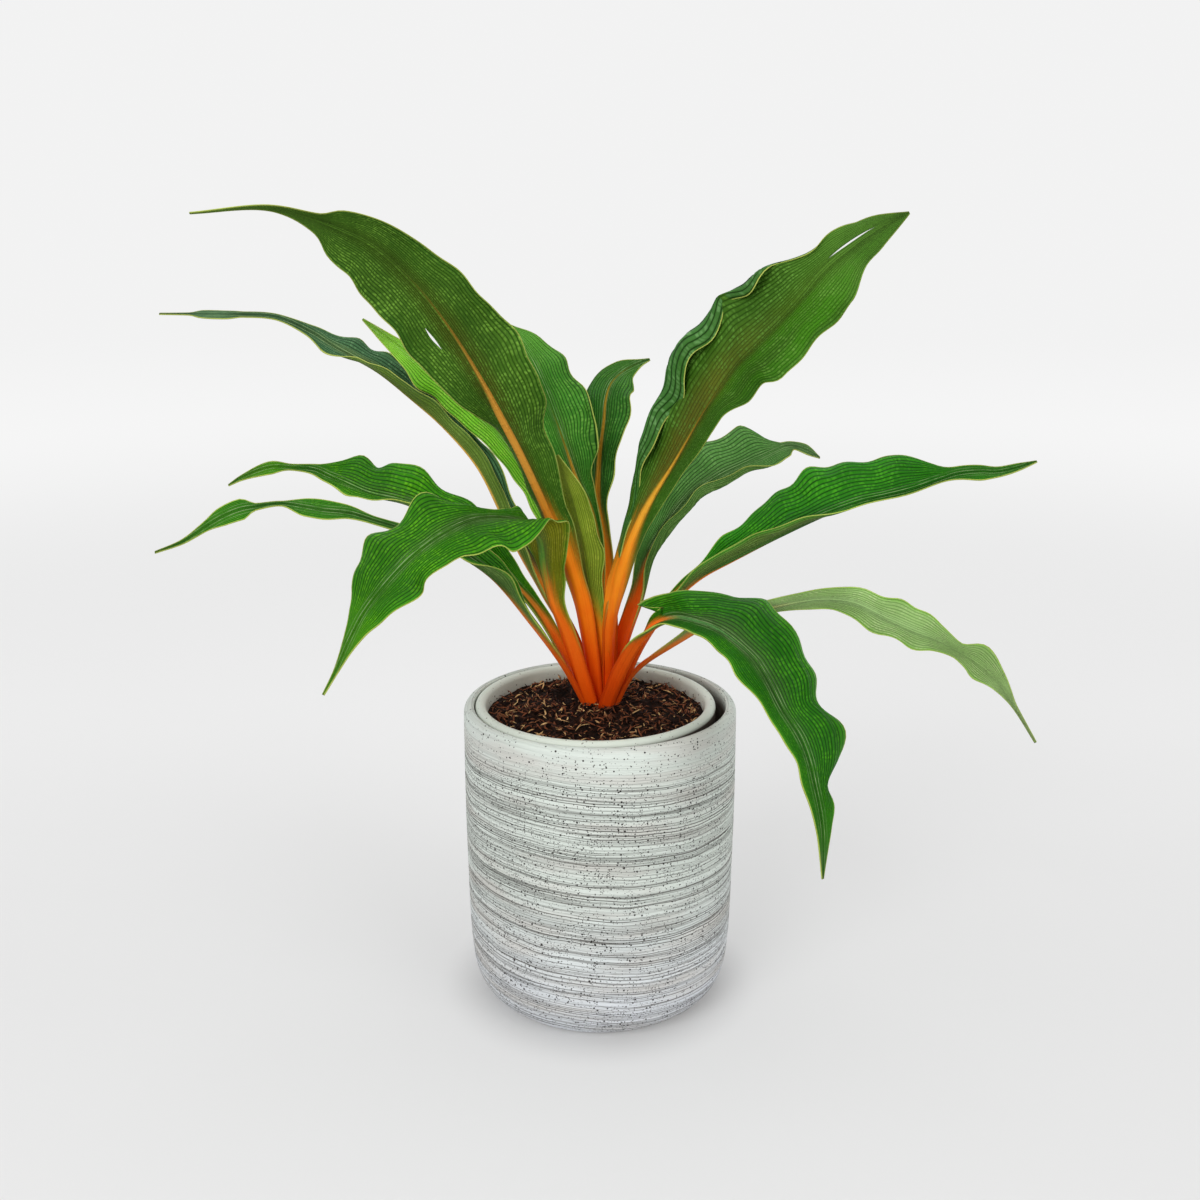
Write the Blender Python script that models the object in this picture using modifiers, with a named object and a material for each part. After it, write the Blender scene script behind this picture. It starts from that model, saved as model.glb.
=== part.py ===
"""A potted chlorophytum: a cover pot, the liner pot inside it, potting mix, a crown and fourteen leaves.

Metres, +Z up. The origin is the centre of the cover pot's base, and the plant's front faces -Y.
"""
import math

import bmesh
import bpy
import numpy as np
from mathutils import Vector

MM = 0.001
GAP = 0.3 * MM             # clearance between pieces that touch

COVER_TOP_R = 68.0 * MM    # cover pot, outside
COVER_HEIGHT = 154.5 * MM
COVER_WALL = 5.8 * MM
COVER_FLOOR = 8.0 * MM
COVER_FOOT_R = 52.0 * MM

LINER_RIM_R = 60.0 * MM    # liner pot, outside of its rim
LINER_TOP = 155.5 * MM
LINER_RIM_WIDTH = 5.3 * MM
LINER_FOOT_R = 47.0 * MM
LINER_FLOOR = 5.0 * MM
LINER_SHIFT = Vector((-1.2, -0.8, 0.0)) * MM   # it stands a little to one side in the cover pot

SOIL_EDGE = 148.0 * MM     # height of the mix at the liner's wall
SOIL_MOUND = 151.5 * MM    # and round the crown
CROWN_CENTRE = Vector((2.0, 6.0, 0.0)) * MM
CROWN_R = 15.5 * MM
CROWN_TOP = 145.9 * MM
CROWN_BOTTOM = 120.0 * MM
HOLLOW_CENTRE = Vector((-19.0, 20.0, 157.0)) * MM   # a finger-sized dip in the mix, left of the crown
HOLLOW_R = 12.0 * MM

STEPS = 40                 # segments of each turned piece
LEAF_PITCH = 12.0 * MM     # spacing of a leaf's sections
BLADE_THICKNESS = 0.7 * MM
MARGIN_THICKNESS = 0.5 * MM
WAVE_LENGTH = 46.0 * MM    # of the ruffled margins
WAVE_HEIGHT = 2.0 * MM
ACROSS = (-1.0, -0.5, 0.0, 0.5, 1.0)

# Each leaf: the compass direction it leans to, in degrees from +X, then rows from the crown to the tip:
# x, y, z of the midrib, half width on the left and on the right, all in millimetres,
# then the blade's roll, and how far its left and right halves fold up, in degrees.
LEAVES = {
    "leaf_tall_left": (203, (
        (-4, 4, 147, 4.0, 4.0, 10, 15, 15),
        (-5, 1, 170, 3.8, 3.8, 15, 15, 15),
        (-7, -3, 205, 3.8, 3.8, 30, 15, 15),
        (-14, -10, 232, 4.5, 4.5, 55, 25, 25),
        (-23, -15, 252, 7, 6, 70, 30, 45),
        (-31, -22, 271, 12, 9, 75, 22, 70),
        (-43, -35, 302, 19, 17, 80, 15, 50),
        (-56, -45, 325, 23, 22, 80, 10, 15),
        (-74, -56, 354, 19, 23, 80, 10, 10),
        (-90, -62, 370, 13, 17, 80, 10, 10),
        (-105, -66, 381, 10, 9, 80, 12, 12),
        (-120, -69, 387, 2, 3, 70, 20, 20),
        (-134, -70, 391, 2, 2, 40, 20, 20),
        (-167, -70, 390, 0.6, 0.6, 20, 0, 0))),
    "leaf_tall_right": (-26, (
        (7.5, 3.6, 147, 4.0, 4.0, 0, 15, 15),
        (5, 3, 165, 4.0, 4.0, -10, 15, 15),
        (4, 3, 185, 4.0, 4.0, -20, 15, 15),
        (6, 1, 203, 4.5, 4.5, -40, 20, 30),
        (9, -1, 217, 5, 5.5, -60, 30, 30),
        (15, -5, 237, 5, 7, -75, 30, 30),
        (24, -11, 259, 6.5, 16, -80, 30, 30),
        (35, -18, 280, 8, 25, -80, 25, 30),
        (47, -27, 304, 10, 31, -80, 20, 30),
        (60, -36, 326, 14, 32, -80, 20, 30),
        (78, -46, 346, 15, 25, -80, 15, 20),
        (96, -54, 368, 17, 12, -80, 15, 20),
        (112, -58, 381, 9, 8, -80, 15, 15),
        (128, -60, 390, 0.6, 0.6, -80, 0, 0))),
    "leaf_long_left": (152, (
        (-3.5, 13.8, 147, 3.6, 3.6, 0, 15, 15),
        (-7.5, 16.2, 162, 3.6, 3.6, 0, 15, 15),
        (-14, 18, 181, 3.6, 3.6, -5, 20, 20),
        (-28, 22, 205, 4, 4, -10, 30, 20),
        (-40, 28, 225, 6, 7, -15, 60, 35),
        (-50, 34, 244, 6, 8, -15, 90, 45),
        (-62, 43, 265, 7, 10, -15, 100, 40),
        (-79, 53, 283, 7, 10, -20, 100, 30),
        (-97, 61, 298, 8, 11, -25, 80, 15),
        (-115, 69, 311, 8, 12, -35, 60, 5),
        (-136, 77, 321, 7, 10, -45, 20, 0),
        (-154, 83, 330, 3.5, 6, -50, 10, 0),
        (-168, 87, 337, 2, 2, -20, 0, 0),
        (-191, 91, 339, 2.5, 2.5, 20, 0, 0),
        (-210, 93, 338, 3.5, 3.5, -20, 0, 0),
        (-234, 95, 338, 0.6, 0.6, 0, 0, 0))),
    "leaf_narrow_left": (148, (
        (-1.5, 8.5, 147, 2.6, 2.6, 0, 15, 15),
        (-4, 12, 165, 2.6, 2.6, 0, 15, 15),
        (-9, 18, 191, 3, 3, 0, 20, 20),
        (-16, 28, 219, 4, 4, -30, 20, 20),
        (-26, 39, 244, 4.5, 7, -60, 15, 15),
        (-41, 51, 266, 9, 11, -70, 10, 10),
        (-59, 61, 285, 13, 10, -70, 10, 10),
        (-82, 73, 304, 10, 7, -65, 10, 10),
        (-103, 78, 319, 5, 4, -60, 10, 10),
        (-124, 82, 335, 0.6, 0.6, -50, 0, 0))),
    "leaf_mid_left": (178, (
        (-8.5, 10.4, 147, 3.5, 3.5, 0, 15, 15),
        (-10.5, 8, 160, 3.5, 3.5, -5, 15, 15),
        (-15, 5, 180, 3.5, 3.5, -20, 15, 15),
        (-23, 3, 197, 4, 4, -40, 20, 20),
        (-41, 2, 215, 5, 6, -50, 30, 30),
        (-62, 2, 235, 9, 14, -50, 45, 15),
        (-89, 3, 256, 9, 18, -50, 55, 5),
        (-104, 4, 262, 9, 18, -50, 50, 5),
        (-122, 6, 267, 8, 13, -50, 40, 5),
        (-131, 7, 269, 4, 5, -30, 0, 0),
        (-137, 8, 270, 1.8, 2, 0, 0, 0),
        (-146, 9, 271, 2, 2, 30, 0, 0),
        (-158, 10, 270, 4, 4, 30, 0, 0),
        (-168, 10, 267, 2.6, 2.6, 30, 0, 0),
        (-181, 10, 261, 0.6, 0.6, 0, 0, 0))),
    "leaf_low_left": (196, (
        (-8, 2.5, 147.3, 3.5, 3.5, 0, 15, 15),
        (-11, -1.3, 158, 3.5, 3.5, 0, 15, 15),
        (-18, -6, 175, 3.5, 3.5, 0, 15, 15),
        (-33, -13, 199, 4, 5, 0, 20, 30),
        (-52, -20, 225, 9, 10, -10, 40, 50),
        (-70, -26, 239, 8, 10, -30, 30, 40),
        (-92, -32, 250, 5, 6, -40, 10, 10),
        (-112, -37, 256, 6.5, 6, -45, 10, 10),
        (-130, -41, 262, 6, 5, -45, 0, 0),
        (-139, -43, 264, 2.4, 2, -40, 0, 0),
        (-150, -45, 264, 1.6, 1.6, -30, 0, 0),
        (-158, -46, 261, 4, 4, -60, 0, 0),
        (-168, -48, 255, 4.2, 4.2, -60, 0, 0),
        (-178, -49, 251, 1.8, 1.8, -60, 0, 0),
        (-199, -50, 243, 0.6, 0.6, -40, 0, 0))),
    "leaf_front_left": (226, (
        (-3, -2, 147, 4.0, 4.0, 0, 15, 15),
        (-5, -5, 160, 4.0, 4.0, 0, 15, 15),
        (-8, -7, 180, 4.5, 4.0, 0, 15, 15),
        (-14, -11, 200, 5, 5, 0, 20, 20),
        (-23, -19, 227, 10, 8, 0, 40, 20),
        (-28, -28, 245, 14, 13, 0, 45, 20),
        (-34, -39, 255, 17, 13, -15, 30, 20),
        (-51, -58, 260, 20, 14, -35, 10, 10),
        (-65, -72, 257, 19, 17, -30, 5, 8),
        (-78, -86, 250, 18, 18, -20, 5, 5),
        (-91, -98, 240, 12, 12, -12, 5, 5),
        (-100, -105, 229, 6.5, 6.5, -10, 5, 5),
        (-106, -112, 216, 3.2, 3, -10, 5, 5),
        (-113, -117, 200, 0.6, 0.6, -10, 0, 0))),
    "leaf_back_left": (118, (
        (3, 15.5, 147, 3.0, 3.0, 0, 15, 15),
        (0, 18, 170, 3.0, 3.0, 0, 15, 15),
        (-2, 19, 195, 3.0, 3.0, 0, 15, 15),
        (-2, 21, 222, 4, 4, 0, 25, 25),
        (-5, 26, 246, 7, 5, 0, 35, 50),
        (-12, 32, 261, 12, 10, 0, 20, 40),
        (-18, 38, 278, 17, 16, 0, 15, 25),
        (-23, 44, 291, 19, 20, 0, 10, 10),
        (-31, 52, 310, 17, 19, 0, 5, 5),
        (-40, 60, 325, 9, 12, 0, 0, 0),
        (-48, 66, 335, 1, 1, 0, 0, 0))),
    "leaf_back_right": (78, (
        (3.5, 9.5, 147, 2.8, 2.8, 0, 15, 15),
        (5, 13.5, 170, 2.8, 2.8, 0, 15, 15),
        (5, 20, 195, 2.8, 2.8, 0, 15, 15),
        (1, 33, 234, 4.5, 5, 0, 15, 30),
        (-1, 38, 247, 6, 6, 0, 10, 30),
        (0, 45, 271, 9, 11, 0, 10, 25),
        (2, 53, 287, 10, 14, 0, 10, 20),
        (3, 59, 297, 12, 15, 0, 10, 15),
        (6, 67, 305, 13, 13, 0, 0, 10),
        (12, 73, 310, 8, 8, 0, 0, 0),
        (20, 75, 314, 3, 3, 0, 0, 0),
        (26, 76, 316, 0.8, 0.8, 0, 0, 0))),
    "leaf_young": (250, (
        (1, 5.5, 147, 2.4, 2.4, 0, 15, 15),
        (-1, 5, 165, 2.4, 2.4, 0, 15, 15),
        (-3, 3, 190, 3, 2.6, 0, 20, 20),
        (-5, 0, 214, 6, 3.5, 0, 25, 25),
        (-7, -2, 232, 8, 6, 0, 20, 20),
        (-10, -4, 248, 8, 6, 0, 15, 15),
        (-14, -6, 263, 6, 5, 0, 10, 10),
        (-20, -8, 280, 0.6, 0.6, 0, 0, 0))),
    "leaf_short_right": (38, (
        (7.5, 11, 147, 3.3, 3.3, 0, 15, 15),
        (9, 15, 165, 3.3, 3.3, 5, 15, 15),
        (10, 18, 187, 3.3, 3.3, 10, 15, 15),
        (14, 22, 203, 4, 4, 15, 20, 20),
        (25, 30, 224, 7, 4.5, 20, 30, 30),
        (32, 36, 234, 10, 5, 25, 30, 20),
        (46, 46, 246, 15, 6.5, 30, 20, 5),
        (56, 54, 255, 17, 6.5, 30, 15, 0),
        (68, 62, 264, 18, 7, 30, 10, 0),
        (80, 70, 270, 13, 8, 30, 10, 0),
        (97, 80, 271, 4, 5, 30, 0, 0),
        (107, 85, 267, 1.8, 1.8, 0, 0, 0),
        (117, 90, 262, 0.6, 0.6, 0, 0, 0))),
    "leaf_mid_right": (-3, (
        (13, 9, 147, 3.6, 3.6, 0, 15, 15),
        (15, 5, 165, 3.6, 3.6, 5, 15, 15),
        (23, 1, 190, 3.6, 3.6, 10, 15, 20),
        (46, -2, 219, 6, 6, 20, 30, 50),
        (63, -4, 229, 10, 9, 30, 30, 80),
        (84, -6, 240, 20, 12, 38, 20, 90),
        (105, -8, 250, 24, 10, 42, 15, 60),
        (125, -8, 257, 22, 5, 45, 10, 20),
        (146, -8, 262, 20, 3.5, 45, 10, 10),
        (160, -8, 267, 11, 3.5, 45, 5, 5),
        (168, -8, 270, 6, 3.5, 45, 5, 5),
        (179, -8, 272, 6, 5.5, 45, 5, 5),
        (190, -8, 274, 3, 3, 45, 5, 5),
        (197, -8, 276, 3.4, 2.4, 40, 5, 5),
        (206, -8, 277, 0.6, 0.6, 30, 0, 0))),
    "leaf_low_right": (-14, (
        (11.5, 1, 147, 3.3, 3.3, 0, 15, 15),
        (14, -2.5, 160, 3.3, 3.3, 0, 15, 15),
        (21, -7, 176, 3.3, 3.3, 0, 15, 15),
        (36, -14, 192, 3.3, 3.3, -30, 15, 15),
        (57, -21, 204, 3.6, 4, -60, 20, 20),
        (85, -27, 211, 4, 7, -90, 20, 20),
        (103, -31, 213, 4, 10, -95, 20, 15),
        (123, -35, 211, 5, 12, -95, 15, 15),
        (142, -38, 207, 9, 9, -95, 15, 10),
        (161, -41, 199, 7.5, 8, -95, 15, 10),
        (176, -43, 189, 6, 6, -90, 10, 10),
        (187, -45, 177, 4.5, 5, -85, 5, 5),
        (192, -46, 169, 1.8, 2, -80, 5, 5),
        (197, -47, 161, 1.2, 1.2, -80, 5, 5),
        (204, -48, 151, 0.6, 0.6, -80, 0, 0))),
    "leaf_front_right": (-47, (
        (6, -3, 147.3, 3.6, 3.6, 0, 15, 15),
        (8, -8, 160, 3.8, 3.8, 0, 15, 15),
        (10, -12, 174, 4, 4, 0, 15, 15),
        (15, -18, 189, 5, 4, 0, 20, 20),
        (26, -30, 203, 9, 14, 10, 20, 25),
        (38, -43, 209, 20, 12, 20, 15, 10),
        (47, -52, 207, 26, 11, 25, 10, 10),
        (59, -62, 202, 28, 10, 25, 5, 5),
        (67, -71, 195, 28, 9, 25, 5, 5),
        (76, -79, 186, 25, 9, 22, 5, 5),
        (83, -86, 178, 18, 7, 18, 5, 5),
        (87, -91, 169, 17, 7, 15, 5, 5),
        (89, -96, 160, 16, 6, 10, 5, 5),
        (94, -104, 139, 7, 5, 5, 5, 5),
        (97, -108, 111, 0.6, 0.6, 0, 0, 0))),
}

LEAF_GREEN = (0.045, 0.20, 0.035)
COLOURS = {
    "stoneware": ((0.58, 0.62, 0.56), 0.8),
    "pale_ceramic": ((0.62, 0.66, 0.60), 0.6),
    "potting_mix": ((0.05, 0.03, 0.02), 0.95),
    "crown": ((0.60, 0.20, 0.03), 0.7),
    "leaf": (LEAF_GREEN, 0.45),
}


def start_scene():
    """Empty the scene and make one collection for the parts and one for the cutters."""
    for obj in list(bpy.data.objects):
        bpy.data.objects.remove(obj, do_unlink=True)
    parts = bpy.data.collections.new("potted_chlorophytum")
    cutters = bpy.data.collections.new("cutters")
    bpy.context.scene.collection.children.link(parts)
    bpy.context.scene.collection.children.link(cutters)
    return parts, cutters


def painted(name, slot):
    colour, roughness = COLOURS[slot]
    material = bpy.data.materials.new(name)
    material.use_nodes = True
    shader = material.node_tree.nodes["Principled BSDF"]
    shader.inputs["Base Color"].default_value = (*colour, 1.0)
    shader.inputs["Roughness"].default_value = roughness
    shader.inputs["Metallic"].default_value = 0.0
    return material


def add_object(name, mesh, slot, collection):
    obj = bpy.data.objects.new(name, mesh)
    obj.data.materials.append(painted(name, slot))
    collection.objects.link(obj)
    for face in mesh.polygons:
        face.use_smooth = True
    return obj


def turned(name, profile, slot, collection, place=Vector((0.0, 0.0, 0.0))):
    """Spin a profile of (radius, height) round the vertical axis; both its ends lie on the axis."""
    mesh = bpy.data.meshes.new(name)
    points = [(radius, 0.0, height) for radius, height in profile]
    edges = [(i, i + 1) for i in range(len(points) - 1)]
    mesh.from_pydata(points, edges, [])
    obj = add_object(name, mesh, slot, collection)
    obj.location = place
    screw = obj.modifiers.new("turn", "SCREW")
    screw.steps = STEPS
    screw.render_steps = STEPS
    screw.use_merge_vertices = True
    screw.merge_threshold = 0.0001
    return obj


def arc(centre_r, centre_z, radius, start, stop, count):
    """Points of a rounded corner, angles in degrees from outward, anticlockwise."""
    angles = [math.radians(start + (stop - start) * i / (count - 1)) for i in range(count)]
    return [(centre_r + radius * math.cos(a), centre_z + radius * math.sin(a)) for a in angles]


def cover_pot(collection):
    """Straight-sided pot with a full round lip, a rounded foot and a very slight belly."""
    lip = COVER_WALL / 2
    inner = COVER_TOP_R - COVER_WALL
    profile = [(0.0, COVER_FLOOR), (inner - 9 * MM, COVER_FLOOR)]
    profile += arc(inner - 9 * MM, COVER_FLOOR + 9 * MM, 9 * MM, -60, 0, 3)
    profile += arc(COVER_TOP_R - lip, COVER_HEIGHT - lip, lip, 180, 0, 7)
    profile += [(COVER_TOP_R + 0.4 * MM, 112 * MM), (COVER_TOP_R - 0.1 * MM, 66 * MM)]
    profile += [(67.3 * MM, 38 * MM), (66.4 * MM, 24 * MM), (65.2 * MM, 16 * MM), (63.3 * MM, 10 * MM)]
    profile += [(60.8 * MM, 5.8 * MM), (57.8 * MM, 2.8 * MM), (54.8 * MM, 0.9 * MM)]
    profile += [(COVER_FOOT_R, 0.0), (0.0, 0.0)]
    return turned("cover_pot", profile, "stoneware", collection)


def liner_inner_radius(height):
    """Inside radius of the liner pot at a height, on its straight sloping wall."""
    low_r, high_r = LINER_FOOT_R - LINER_RIM_WIDTH, LINER_RIM_R - LINER_RIM_WIDTH
    low_z, high_z = COVER_FLOOR + GAP, LINER_TOP - 3 * MM
    return low_r + (high_r - low_r) * (height - low_z) / (high_z - low_z)


def liner_pot(collection):
    """Tapered pot with a rolled rim, standing on the cover pot's floor."""
    roll = LINER_RIM_WIDTH / 2
    floor = COVER_FLOOR + GAP
    profile = [(0.0, floor + LINER_FLOOR), (liner_inner_radius(floor + LINER_FLOOR), floor + LINER_FLOOR)]
    profile += arc(LINER_RIM_R - roll, LINER_TOP - roll, roll, 180, 0, 7)
    profile += [(LINER_RIM_R, LINER_TOP - 9 * MM), (LINER_RIM_R - 1.5 * MM, LINER_TOP - 10.5 * MM)]
    profile += [(LINER_FOOT_R + 1.5 * MM, floor + 3 * MM), (LINER_FOOT_R, floor), (0.0, floor)]
    return turned("liner_pot", profile, "pale_ceramic", collection, LINER_SHIFT)


def cutter(name, mesh, collection):
    obj = bpy.data.objects.new(name, mesh)
    collection.objects.link(obj)
    obj.hide_render = True
    obj.display_type = "WIRE"
    return obj


def cut(obj, tool):
    boolean = obj.modifiers.new(tool.name, "BOOLEAN")
    boolean.operation = "DIFFERENCE"
    boolean.solver = "EXACT"
    boolean.object = tool


def potting_mix(collection, cutters):
    """The mix fills the liner, heaped a little round the crown, with a pit for the crown and one dip."""
    bottom = COVER_FLOOR + GAP + LINER_FLOOR + GAP
    top_r = liner_inner_radius(SOIL_EDGE) - 1.6 * GAP
    profile = [(0.0, SOIL_MOUND), (24 * MM, SOIL_MOUND), (40 * MM, SOIL_EDGE + 0.6 * MM), (top_r, SOIL_EDGE)]
    profile += [(liner_inner_radius(bottom) - 1.6 * GAP, bottom), (0.0, bottom)]
    soil = turned("potting_mix", profile, "potting_mix", collection, LINER_SHIFT)
    pit = bmesh.new()
    depth = SOIL_MOUND + 10 * MM - CROWN_BOTTOM + GAP
    bmesh.ops.create_cone(pit, cap_ends=True, segments=32, radius1=CROWN_R + GAP, radius2=CROWN_R + 2 * MM, depth=depth)
    shift = CROWN_CENTRE + Vector((0.0, 0.0, CROWN_BOTTOM - GAP + depth / 2))
    bmesh.ops.translate(pit, verts=pit.verts, vec=shift)
    dip = bmesh.new()
    bmesh.ops.create_uvsphere(dip, u_segments=20, v_segments=12, radius=HOLLOW_R)
    bmesh.ops.translate(dip, verts=dip.verts, vec=HOLLOW_CENTRE)
    for name, shape in (("crown_pit", pit), ("mix_dip", dip)):
        mesh = bpy.data.meshes.new(name)
        shape.to_mesh(mesh)
        shape.free()
        cut(soil, cutter(name, mesh, cutters))
    return soil


def crown(collection):
    """The short stem that every leaf grows from."""
    profile = [(0.0, CROWN_TOP), (CROWN_R - 1.5 * MM, CROWN_TOP), (CROWN_R, CROWN_TOP - 1.5 * MM)]
    profile += [(CROWN_R, 138 * MM), (CROWN_R - 5 * MM, CROWN_BOTTOM + 3 * MM), (6 * MM, CROWN_BOTTOM)]
    profile += [(0.0, CROWN_BOTTOM)]
    return turned("crown", profile, "crown", collection, CROWN_CENTRE)


def smooth_rows(rows):
    """Even samples, LEAF_PITCH apart, of a smooth curve through every row of a leaf."""
    table = np.array(rows, float)
    steps = np.sqrt(np.linalg.norm(np.diff(table[:, :3], axis=0), axis=1))
    knots = np.concatenate([[0.0], np.cumsum(steps)])
    slopes = np.diff(table, axis=0) / np.diff(knots)[:, None]
    tangents = np.gradient(table, knots, axis=0)
    before, after = slopes[:-1, 3:], slopes[1:, 3:]
    limit = 2.0 * np.minimum(np.abs(before), np.abs(after))
    calm = np.clip(tangents[1:-1, 3:], -limit, limit)
    tangents[1:-1, 3:] = np.where(before * after > 0.0, calm, 0.0)
    where = np.linspace(0.0, knots[-1], 400)
    span = np.clip(np.searchsorted(knots, where, side="right") - 1, 0, len(knots) - 2)
    width = (knots[span + 1] - knots[span])[:, None]
    u = (where - knots[span])[:, None] / width
    fine = (2 * u**3 - 3 * u**2 + 1) * table[span] + (u**3 - 2 * u**2 + u) * width * tangents[span]
    fine += (3 * u**2 - 2 * u**3) * table[span + 1] + (u**3 - u**2) * width * tangents[span + 1]
    run = np.concatenate([[0.0], np.cumsum(np.linalg.norm(np.diff(fine[:, :3], axis=0), axis=1))])
    count = max(16, round(run[-1] * MM / LEAF_PITCH))
    even = np.linspace(0.0, run[-1], count)
    return np.stack([np.interp(even, run, column) for column in fine.T], axis=1), even / run[-1]


def directions(points, heading):
    """The path's forward, left and upper-face directions at every sample."""
    forward = np.gradient(points, axis=0)
    forward /= np.linalg.norm(forward, axis=1)[:, None]
    angle = math.radians(heading)
    side = np.array([-math.sin(angle), math.cos(angle), 0.0])
    left = side - forward * (forward @ side)[:, None]
    left /= np.linalg.norm(left, axis=1)[:, None]
    return forward, left, np.cross(forward, left)


def leaf_section(row, left, face, rib, wave):
    """One closed section: the upper face from right to left, then the underside back again."""
    upper, under = [], []
    for across in ACROSS:
        half, fold = (row[3], row[6]) if across > 0 else (row[4], row[7])
        sign, fold = (math.copysign(1.0, across), math.radians(fold)) if across else (0.0, 0.0)
        out = left * sign * math.cos(fold) + face * math.sin(fold)
        normal = face * math.cos(fold) - left * sign * math.sin(fold)
        blade = min(max((half - 4.5) / 8.0, 0.0), 1.0)
        thick = {0.0: rib, 0.5: 0.75 * rib * (1 - blade) + BLADE_THICKNESS / MM * blade,
                 1.0: 0.9 * (1 - blade) + MARGIN_THICKNESS / MM * blade}[abs(across)]
        point = row[:3] + out * abs(across) * half + normal * wave * across**2 * blade
        upper.append(point)
        under.append(point - normal * min(thick, half))
    return [p * MM for p in upper + under[::-1]]


def leaf(name, heading, rows, phase, collection):
    """Loft a leaf through its sections: thick channelled stalk, thin ruffled blade, drawn-out tip."""
    samples, along = smooth_rows(rows)
    forward, left, face = directions(samples[:, :3], heading)
    length = len(samples) * LEAF_PITCH
    mesh = bmesh.new()
    rings = []
    for i, row in enumerate(samples):
        roll = math.radians(row[5])
        turned_left = left[i] * math.cos(roll) + face[i] * math.sin(roll)
        turned_face = face[i] * math.cos(roll) - left[i] * math.sin(roll)
        rib = 0.6 + (0.75 * rows[0][3] - 0.6) * (1 - along[i]) ** 1.5
        wave = WAVE_HEIGHT / MM * math.sin(2 * math.pi * along[i] * length / WAVE_LENGTH + phase)
        section = leaf_section(row, turned_left, turned_face, rib, wave)
        rings.append([mesh.verts.new(point) for point in section])
    for lower, upper in zip(rings, rings[1:]):
        for k in range(len(lower)):
            nxt = (k + 1) % len(lower)
            mesh.faces.new((lower[k], lower[nxt], upper[nxt], upper[k]))
    mesh.faces.new(rings[0][::-1])
    mesh.faces.new(rings[-1])
    bmesh.ops.recalc_face_normals(mesh, faces=mesh.faces)
    data = bpy.data.meshes.new(name)
    mesh.to_mesh(data)
    mesh.free()
    return add_object(name, data, "leaf", collection)


def main():
    parts, cutters = start_scene()
    cover_pot(parts)
    liner_pot(parts)
    potting_mix(parts, cutters)
    crown(parts)
    for number, (name, (heading, rows)) in enumerate(LEAVES.items()):
        leaf(name, heading, rows, 1.7 * number, parts)


main()
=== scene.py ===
"""Looks of the potted chlorophytum: combed stoneware pot, liner pot, husky potting mix and fourteen leaves.

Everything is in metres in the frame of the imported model, +Z up, the plant's front facing -Y.
"""
import math
import random

import bpy
import numpy as np
from mathutils import Matrix, Vector, noise


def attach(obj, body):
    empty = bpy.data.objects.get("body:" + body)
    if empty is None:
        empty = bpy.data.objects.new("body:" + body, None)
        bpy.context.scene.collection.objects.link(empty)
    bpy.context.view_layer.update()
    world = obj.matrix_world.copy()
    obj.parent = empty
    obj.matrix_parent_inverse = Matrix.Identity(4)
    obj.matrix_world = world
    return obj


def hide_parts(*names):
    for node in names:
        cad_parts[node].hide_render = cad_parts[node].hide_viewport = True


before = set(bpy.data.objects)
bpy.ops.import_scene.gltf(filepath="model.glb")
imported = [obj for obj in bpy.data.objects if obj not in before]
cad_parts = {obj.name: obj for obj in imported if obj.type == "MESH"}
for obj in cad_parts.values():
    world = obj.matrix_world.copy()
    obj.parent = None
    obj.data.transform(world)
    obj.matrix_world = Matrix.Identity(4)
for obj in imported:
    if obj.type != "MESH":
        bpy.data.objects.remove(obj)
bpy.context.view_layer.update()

MM = 0.001
TURN = 2 * math.pi

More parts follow.
